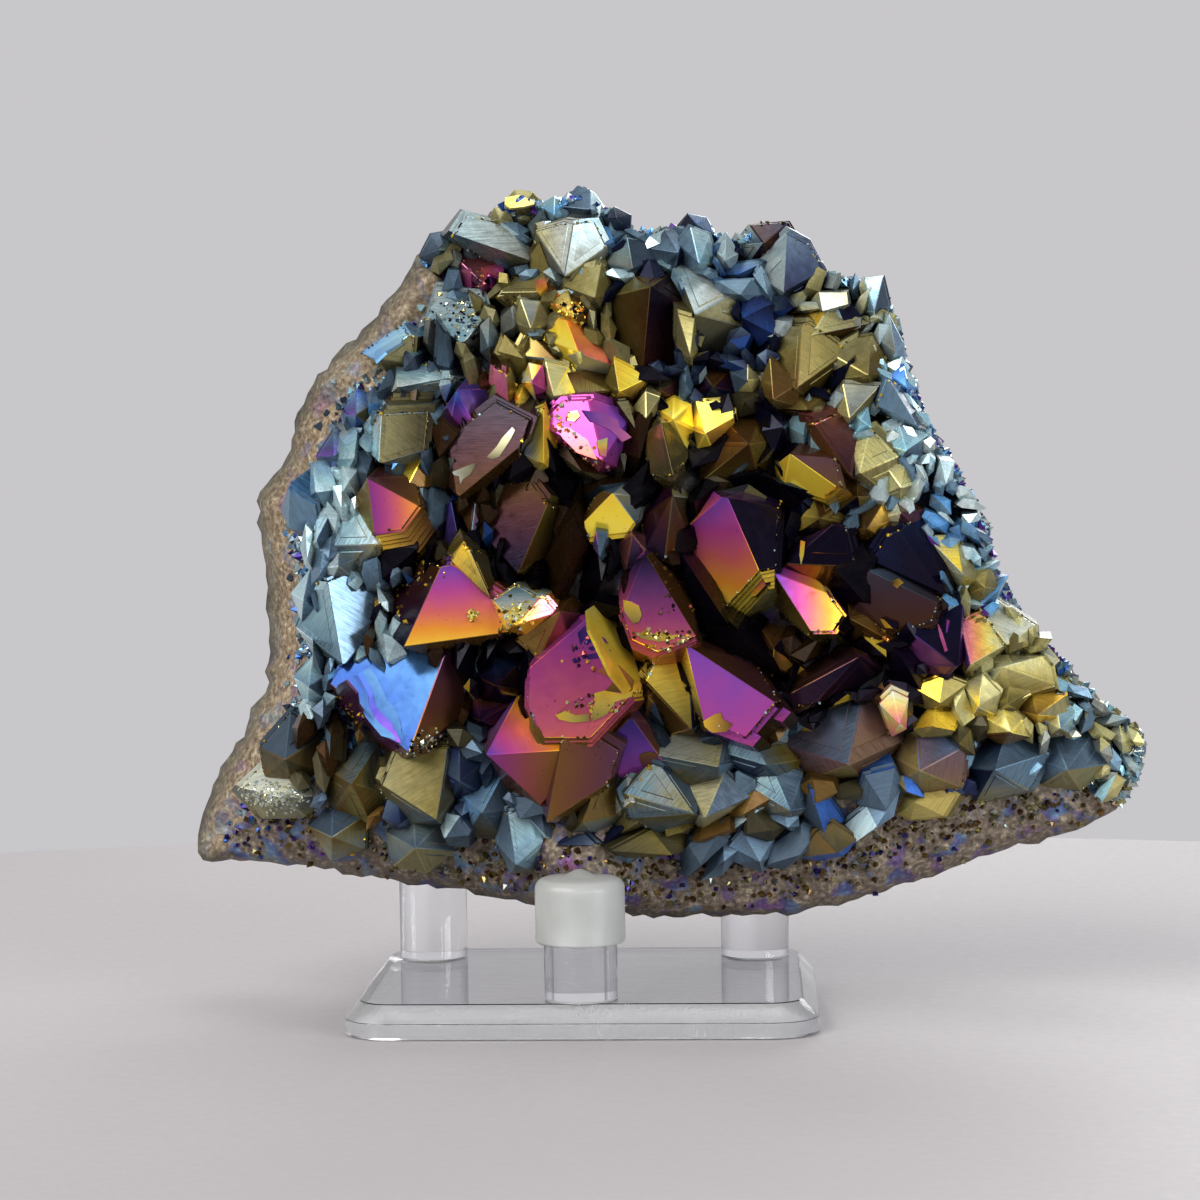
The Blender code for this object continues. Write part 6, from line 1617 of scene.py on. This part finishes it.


# %% [markdown]
# ## The coating
#
# A real thin-film shader would give true interference, but its colours can't be steered facet by facet
# and don't survive being exported. So the film's colour scale is a ramp: the tone stored on each corner
# says where on the scale the film stands, and slow noise lets it wander as a real coating does. The tone's
# painted light and shade then darken the ramp's colour. The metal film reflects like a coloured mirror, so
# the shader is metallic, with fine growth lines as bump and as painted light and dark bands on the walls.
# Outer crystals caught less of the metal, so they get a softer coat, and the dusty skirt a hazy one.

# %% coated quartz
FILM = [
    (0.00, (0.80, 0.86, 0.87)), (0.08, (0.86, 0.84, 0.58)), (0.17, (0.93, 0.82, 0.26)),
    (0.28, (0.91, 0.57, 0.20)), (0.37, (0.85, 0.41, 0.40)), (0.46, (0.76, 0.30, 0.60)),
    (0.56, (0.54, 0.31, 0.74)), (0.65, (0.27, 0.24, 0.62)), (0.73, (0.23, 0.42, 0.77)),
    (0.82, (0.42, 0.67, 0.90)), (0.91, (0.62, 0.82, 0.88)), (1.00, (0.80, 0.86, 0.87)),
]
SMOKY = (*linear((0.80, 0.79, 0.70)), 1.0)
GROWTH_LINES = (4.2, 0.25, 1.0)
FILM_DRIFT = 0.08


def coat_material(name, metallic, rough_low, rough_high):
    mat, tree, shader, place = new_material(name)
    film, strong, light, wall = stored(tree, "tone")
    grain = add_node(tree, "Attribute", attribute_name="grain").outputs["Vector"]
    striae = lines_node(tree, grain, GROWTH_LINES, 4.0, 0.6)
    wander = times(tree, minus(tree, noise_node(tree, place, 160.0, 2.0), 0.5), FILM_DRIFT)
    lined = times(tree, times(tree, minus(tree, striae, 0.5), FILM_DRIFT), wall)
    film = math_node(tree, "FRACT", plus(tree, plus(tree, film, wander), lined))
    colour = mix_colour(tree, strong, SMOKY, ramp_node(tree, film, FILM))
    # painted light and dark bands along the growth lines of the walls, then the tone's painted light and
    # shade
    ridges = times(tree, wall, spread_node(tree, striae, 0.35, 0.65, 0.65, -0.35))
    light = times(tree, light, minus(tree, 1.0, ridges))
    speck = spread_node(tree, noise_node(tree, place, 1500.0, 2.0), 0.22, 0.32, 0.5, 1.0)
    colour = darken(tree, colour, times(tree, light, speck))
    shader.inputs["Metallic"].default_value = metallic
    shader.inputs["Specular IOR Level"].default_value = 0.2
    rough = spread_node(tree, noise_node(tree, place, 700.0), 0.3, 0.7, rough_low, rough_high)
    height = plus(tree, times(tree, striae, wall), times(tree, noise_node(tree, place, 900.0), 0.12))
    dress(tree, shader, colour, rough, height, 0.25, 0.00012)
    return mat


coating = coat_material("aura_coating", 0.6, 0.13, 0.24)
soft_coating = coat_material("soft_coating", 0.5, 0.2, 0.36)
hazy_coating = coat_material("hazy_coating", 0.3, 0.34, 0.55)
print("coatings", len(coating.node_tree.nodes), "nodes each")


# %% [markdown]
# ## Rock
#
# The rind never saw the coating chamber's full stream: it is tan and sugary where quartz begins, and
# olive-grey and dull outside, with violet and blue dust caught on the grains near the crystals. The bed
# between the crystals is painted dark as shade, and so are the gaps between the grains.

# %% rock
BED_PAINTED_SHADE = [(0.3, (0.10, 0.10, 0.12)), (0.7, (0.22, 0.20, 0.20))]
SUGAR = [(0.30, (0.36, 0.27, 0.19)), (0.50, (0.68, 0.58, 0.45)), (0.70, (0.90, 0.85, 0.74))]
EARTH = [(0.30, (0.34, 0.28, 0.24)), (0.50, (0.55, 0.48, 0.41)), (0.70, (0.80, 0.74, 0.64))]
HIDE = [(0.30, (0.27, 0.26, 0.21)), (0.50, (0.42, 0.41, 0.34)), (0.68, (0.58, 0.56, 0.48))]
HIDE_GRAIN = [(0.35, (0.35, 0.33, 0.30)), (0.65, (0.95, 0.94, 0.90))]


def rock_material():
    mat, tree, shader, place = new_material("rough_rind")
    tan, skin, foot, _ = stored(tree, "zone")
    slow = noise_node(tree, place, 90.0, 4.0, 0.6)
    fine = noise_node(tree, place, 1100.0, 4.0, 0.65)
    cells = add_node(tree, "TexVoronoi", [("Vector", place), ("Scale", 620.0)]).outputs["Distance"]
    hide = mix_colour(tree, 0.6, ramp_node(tree, slow, HIDE), ramp_node(tree, fine, HIDE_GRAIN), "MULTIPLY")
    sugar = mix_colour(tree, foot, ramp_node(tree, fine, SUGAR), ramp_node(tree, fine, EARTH))
    # painted shade: the bed between the crystals, away from the tan band, is dark
    colour = mix_colour(tree, tan, ramp_node(tree, slow, BED_PAINTED_SHADE), sugar)
    colour = mix_colour(tree, skin, colour, hide)
    dust = spread_node(tree, noise_node(tree, place, 240.0), 0.52, 0.62)
    dust = times(tree, dust, minus(tree, 1.0, skin))
    dust = times(tree, dust, spread_node(tree, foot, 0.0, 1.0, 0.3, 0.6))
    film = ramp_node(tree, spread_node(tree, slow, 0.35, 0.65, 0.5, 0.9), FILM)
    colour = mix_colour(tree, dust, colour, film)
    # painted shade in the gaps between the grains
    colour = darken(tree, colour, spread_node(tree, cells, 0.0, 0.5, 1.0, 0.55))
    tree.links.new(times(tree, dust, 0.6), shader.inputs["Metallic"])
    rough = spread_node(tree, fine, 0.3, 0.7, 0.45, 0.9)
    height = minus(tree, fine, times(tree, cells, 0.7))
    dress(tree, shader, colour, rough, height, 0.6, 0.0004)
    return mat


# %% [markdown]
# ## Clear acrylic and soft vinyl
#
# Cast acrylic is plain clear: all transmission, with an index of 1.49. What makes it look real is wear, so
# faint smears and hairlines vary its roughness. The plate's upright edges are as the saw left them. The
# caps are cloudy soft vinyl: part of the light passes, and a moulded skin blurs the rest.

# %% stand materials
ACRYLIC_TINT = [(0.3, (0.975, 0.98, 0.99)), (0.7, (0.99, 0.99, 1.0))]
HAIRLINES, SAW_MARKS, DRAWN_LINES = (90.0, 900.0, 400.0), (1500.0, 1500.0, 60.0), (420.0, 420.0, 60.0)
TABLE_TONES = [(0.3, (0.66, 0.645, 0.65)), (0.7, (0.68, 0.665, 0.67))]


def acrylic_material(name, rough_low, rough_high, through, marks, bump):
    mat, tree, shader, place = new_material(name)
    shader.inputs["Transmission Weight"].default_value = through
    shader.inputs["IOR"].default_value = 1.49
    tint = ramp_node(tree, noise_node(tree, place, 30.0, 2.0), ACRYLIC_TINT)
    marks = lines_node(tree, place, marks, 3.0, 0.6)
    wear = times(tree, marks, noise_node(tree, place, 120.0))
    rough = spread_node(tree, wear, 0.15, 0.45, rough_low, rough_high)
    dress(tree, shader, tint, rough, marks, bump, 0.00012)
    return mat


def cloudy_material(name, colour, through, roughness):
    mat, tree, shader, place = new_material(name)
    shader.inputs["Transmission Weight"].default_value = through
    shader.inputs["IOR"].default_value = 1.45
    shader.inputs["Subsurface Weight"].default_value = 0.3
    shader.inputs["Subsurface Radius"].default_value = (0.004, 0.004, 0.0035)
    shader.inputs["Subsurface Scale"].default_value = 1.0
    darker = tuple(c * 0.95 for c in colour)
    cloud = ramp_node(tree, noise_node(tree, place, 130.0, 2.0), [(0.35, darker), (0.65, colour)])
    drawn = lines_node(tree, place, DRAWN_LINES, 2.0)
    rough = spread_node(tree, drawn, 0.3, 0.7, roughness - 0.06, roughness + 0.06)
    dress(tree, shader, cloud, rough, drawn, 0.08, 0.0002)
    return mat


def table_material():
    mat, tree, shader, place = new_material("pale_table")
    shader.inputs["Specular IOR Level"].default_value = 0.15
    fine = noise_node(tree, place, 500.0, 4.0)
    tint = ramp_node(tree, noise_node(tree, place, 6.0), TABLE_TONES)
    dress(tree, shader, tint, spread_node(tree, fine, 0.3, 0.7, 0.5, 0.65), fine, 0.08, 0.0003)
    return mat


# %% [markdown]
# ## Putting the cluster together
#
# Piles of crystals keep the meshes to a sensible size: heart, crown, flanks with rims,
# skirt, the small fillers above and in the skirt, and the damage with its crumbs. The main crystals' edges
# are shaved a hair's breadth, because a perfectly sharp edge never catches the light.

# %% the named crystals
random = np.random.default_rng(7)
FILLER_TRIES = 9000


def make_pile(name, rows, brightness, mat):
    pile = Pile()
    grow(pile, rows, random, brightness)
    pile.make(name, mat)


# The brightness of each pile scales the painted light and shade of its facets.
make_pile("heart_crystals", HEART, 1.4, coating)
make_pile("crown_crystals", CROWN, 0.76, soft_coating)
make_pile("flank_and_rim_crystals", FLANK + RIM, 1.2, soft_coating)
make_pile("skirt_crystals", SKIRT, 0.95, hazy_coating)

# %% the fillers
gap_rows = fillers(HEART + CROWN + FLANK + RIM + SKIRT, random, FILLER_TRIES)
make_pile("filler_crystals", [r for r in gap_rows if r[4][1] >= SKIRT_TOP], 0.7, soft_coating)
make_pile("skirt_filler_crystals", [r for r in gap_rows if r[4][1] < SKIRT_TOP], 1.15, hazy_coating)
print(len(gap_rows), "fillers")

# %% steps, plates, crust and crumbs
CRUMBS_PER_MM = 0.9
CRUMB_TONES = "umber gold straw bronze olive brass ice".split()
damage = Pile()
for name, side, count, paint in STAIRS:
    stairs(damage, SOLIDS[name], float(side), int(count), paint, random)
for name, rise, paint, outline in PLATES:
    add_plate(damage, SOLIDS[name], float(rise), paint, places(outline))
for name, spot, spread, count, names in CRUSTS:
    crust(damage, SOLIDS[name], *places(spot)[0], places(spread)[0], int(count), names.split(), random)
edge_crumbs(damage, random, CRUMBS_PER_MM, CRUMB_TONES)
damage.make("broken_steps_and_crust", coating)

# %% the rock and the druse
make_rock(rock_material())
druse = Pile()
scatter_druse(druse, random, 3000, strip("left", 9.0, 19.0, 1.5), (0.4, 1.1), lambda x, z: FLANK_TONES)
scatter_druse(druse, random, 3800, on_rim, (0.4, 1.2), lambda x, z: RIM_TONES if z > TAIL_TOP else TAIL_TONES)
scatter_druse(druse, random, 1000, strip("bottom", 4.0, 14.0, 2.0), (0.3, 0.75),
              lambda x, z: CORNER_TONES if x < FOOT_CORNER else FOOT_TONES)
druse.make("druse", coating)


# %% [markdown]
# ## The stand
#
# The plate is a rounded outline lofted through a few levels, which gives the polished bevel exactly. Rods
# and caps are turned from profiles. Where a rod is cemented down, a thin milky disc shows in the joint.

# %% making a piece of the stand
CREASE, PLATE_CREASE = 40.0, 20.0


def stand_piece(name, verts, faces, mats, slots, node, crease=CREASE):
    """A piece from corners and faces; edges sharper than crease, in degrees, stay sharp."""
    mesh = new_mesh(name, verts, faces)
    for mat in mats:
        mesh.materials.append(mat)
    mesh.polygons.foreach_set("material_index", slots)
    bm = bmesh.new()
    bm.from_mesh(mesh)
    bmesh.ops.recalc_face_normals(bm, faces=bm.faces)
    for edge in bm.edges:
        edge.smooth = edge.calc_face_angle(0.0) < math.radians(crease)
    for face in bm.faces:
        face.smooth = True
    bm.to_mesh(mesh)
    bm.free()
    finish_piece(name, mesh, node)


# %% the plate
PLATE_WIDTH, PLATE_DEPTH, PLATE_THICK = 82.5, 63.5, 5.7
PLATE_CORNER, PLATE_BEVEL, PLATE_BREAK = 8.5, 2.9, 0.4
CORNER_STEPS = 16
LEVELS = [(0.0, PLATE_BREAK), (PLATE_BREAK, 0.0), (PLATE_THICK - PLATE_BEVEL - 0.15, 0.0),
          (PLATE_THICK - PLATE_BEVEL, 0.08), (PLATE_THICK - 0.12, PLATE_BEVEL - 0.12),
          (PLATE_THICK, PLATE_BEVEL + 0.12)]  # (Z, inset)
SAWN_LEVELS = (1, 3)


def plate():
    verts, faces, slots = [], [], []
    for z, inset in LEVELS:
        for corner, (sx, sy) in enumerate([(1, 1), (-1, 1), (-1, -1), (1, -1)]):
            for step in range(CORNER_STEPS + 1):
                turn = math.radians(90 * corner + 90 * step / CORNER_STEPS)
                arm = PLATE_CORNER - inset
                verts.append((sx * (PLATE_WIDTH / 2 - PLATE_CORNER) + arm * math.cos(turn),
                              sy * (PLATE_DEPTH / 2 - PLATE_CORNER) + arm * math.sin(turn), z))
    around = 4 * (CORNER_STEPS + 1)
    for level in range(len(LEVELS) - 1):
        for k in range(around):
            n = (k + 1) % around
            low = level * around
            faces.append([low + k, low + n, low + around + n, low + around + k])
            slots.append(1 if level in SAWN_LEVELS else 0)
    faces.append(list(range(around))[::-1])
    faces.append([len(verts) - around + k for k in range(around)])
    return verts, faces, slots + [0, 0]


polished = acrylic_material("polished_acrylic", 0.0, 0.05, 1.0, HAIRLINES, 0.06)
sawn_edge = acrylic_material("sawn_acrylic", 0.08, 0.30, 0.72, SAW_MARKS, 0.5)
verts, faces, slots = plate()
stand_piece("base_plate", verts, faces, [polished, sawn_edge], slots, "stand_base",
            PLATE_CREASE)


# %% turning a profile
ROUND_STEPS = 64


def turned(profile, x, y, steps=ROUND_STEPS):
    """Faces of a profile of (radius, Z) turned round an upright axis; radius 0 closes it."""
    verts, faces, rings = [], [], []
    for radius, z in profile:
        start = len(verts)
        if radius == 0:
            verts.append((x, y, z))
            rings.append([start])
            continue
        for k in range(steps):
            turn = k * math.tau / steps
            verts.append((x + radius * math.cos(turn), y + radius * math.sin(turn), z))
        rings.append(list(range(start, start + steps)))
    for low, high in zip(rings, rings[1:]):
        for k in range(steps):
            n = (k + 1) % steps
            face = [low[k % len(low)], low[n % len(low)], high[n % len(high)], high[k % len(high)]]
            faces.append(list(dict.fromkeys(face)))
    return verts, faces


def turned_piece(name, profile, spot, mat, node):
    verts, faces = turned(profile, *spot)
    stand_piece(name, verts, faces, [mat], [0] * len(faces), node)


def arc(cx, cz, radius, start, end, steps=6):
    """Points on an arc in a profile, from one angle to another in degrees."""
    turns = (math.radians(start + (end - start) * k / steps) for k in range(steps + 1))
    return [(cx + radius * math.cos(t), cz + radius * math.sin(t)) for t in turns]


# %% rods, caps and cement
ROD_RADIUS = 6.35
CAP_RADIUS, CAP_HEIGHT, CAP_WALL, CAP_ROUND = 7.8, 11.2, 1.8, 1.9
CAP_DOME, CAP_NUB, NUB_FOOT, NUB_TOP = 0.35, 1.4, 2.6, 0.9
POSTS = (("front", 0.0, -23.3, 26.7), ("rear_left", -30.2, 20.5, 39.0), ("rear_right", 30.2, 20.5, 39.0))
GAP = 0.3


def rod_profile(top):
    """A rod with a broken edge, standing a joint's gap above the plate, with its top inside the cap."""
    rod_top = top - CAP_WALL - GAP
    foot = [(0, PLATE_THICK + GAP), (ROD_RADIUS, PLATE_THICK + GAP)]
    return foot + arc(ROD_RADIUS - 0.4, rod_top - 0.4, 0.4, 0, 90, 4) + [(0, rod_top)]


def cap_profile(top):
    """A hollow cap, from the inside of its roof round the rim to the nub on top."""
    rim, inner = top - CAP_HEIGHT, ROD_RADIUS + GAP
    profile = [(0, top - CAP_WALL)] + arc(inner - 0.5, top - CAP_WALL - 0.5, 0.5, 90, 0, 3)
    profile += [(inner, rim + 0.3), (inner + 0.3, rim)]
    profile += arc(CAP_RADIUS - 0.6, rim + 0.6, 0.6, -90, 0, 4)
    profile += arc(CAP_RADIUS - CAP_ROUND, top - CAP_ROUND, CAP_ROUND, 0, 80, 8)
    return profile + [
        (NUB_FOOT + 0.8, top + CAP_DOME * 0.8), (NUB_FOOT, top + CAP_DOME),
        (NUB_FOOT * 0.7, top + CAP_DOME + 0.45), (NUB_TOP, top + CAP_NUB - 0.15),
        (NUB_TOP * 0.6, top + CAP_NUB), (0, top + CAP_NUB)]


JOINT = [(0, PLATE_THICK + 0.02), (ROD_RADIUS - 0.1, PLATE_THICK + 0.02),
         (ROD_RADIUS - 0.25, PLATE_THICK + GAP - 0.02), (0, PLATE_THICK + GAP - 0.02)]
vinyl = cloudy_material("cloudy_vinyl", (0.97, 0.98, 0.965), 0.68, 0.36)
cement = cloudy_material("cement", (0.93, 0.93, 0.93), 0.35, 0.5)
for side, x, y, top in POSTS:
    turned_piece(side + "_rod", rod_profile(top), (x, y), polished, side + "_post")
    turned_piece(side + "_soft_cap", cap_profile(top), (x, y), vinyl, side + "_cap")
    turned_piece(side + "_cement", JOINT, (x, y), cement, None)

# %% the table top
TABLE_RADIUS, TABLE_BACK, TABLE_THICK = 520.0, 245.0, 22.0
profile = [(0, -TABLE_THICK), (TABLE_RADIUS - 2, -TABLE_THICK)]
profile += arc(TABLE_RADIUS - 3, -3.2, 3.0, 0, 90) + [(0, -0.2)]
mesh = new_mesh("table_top", *turned(profile, 0.0, TABLE_BACK - TABLE_RADIUS, 160))
mesh.materials.append(table_material())
table_top = add_object("table_top", mesh)
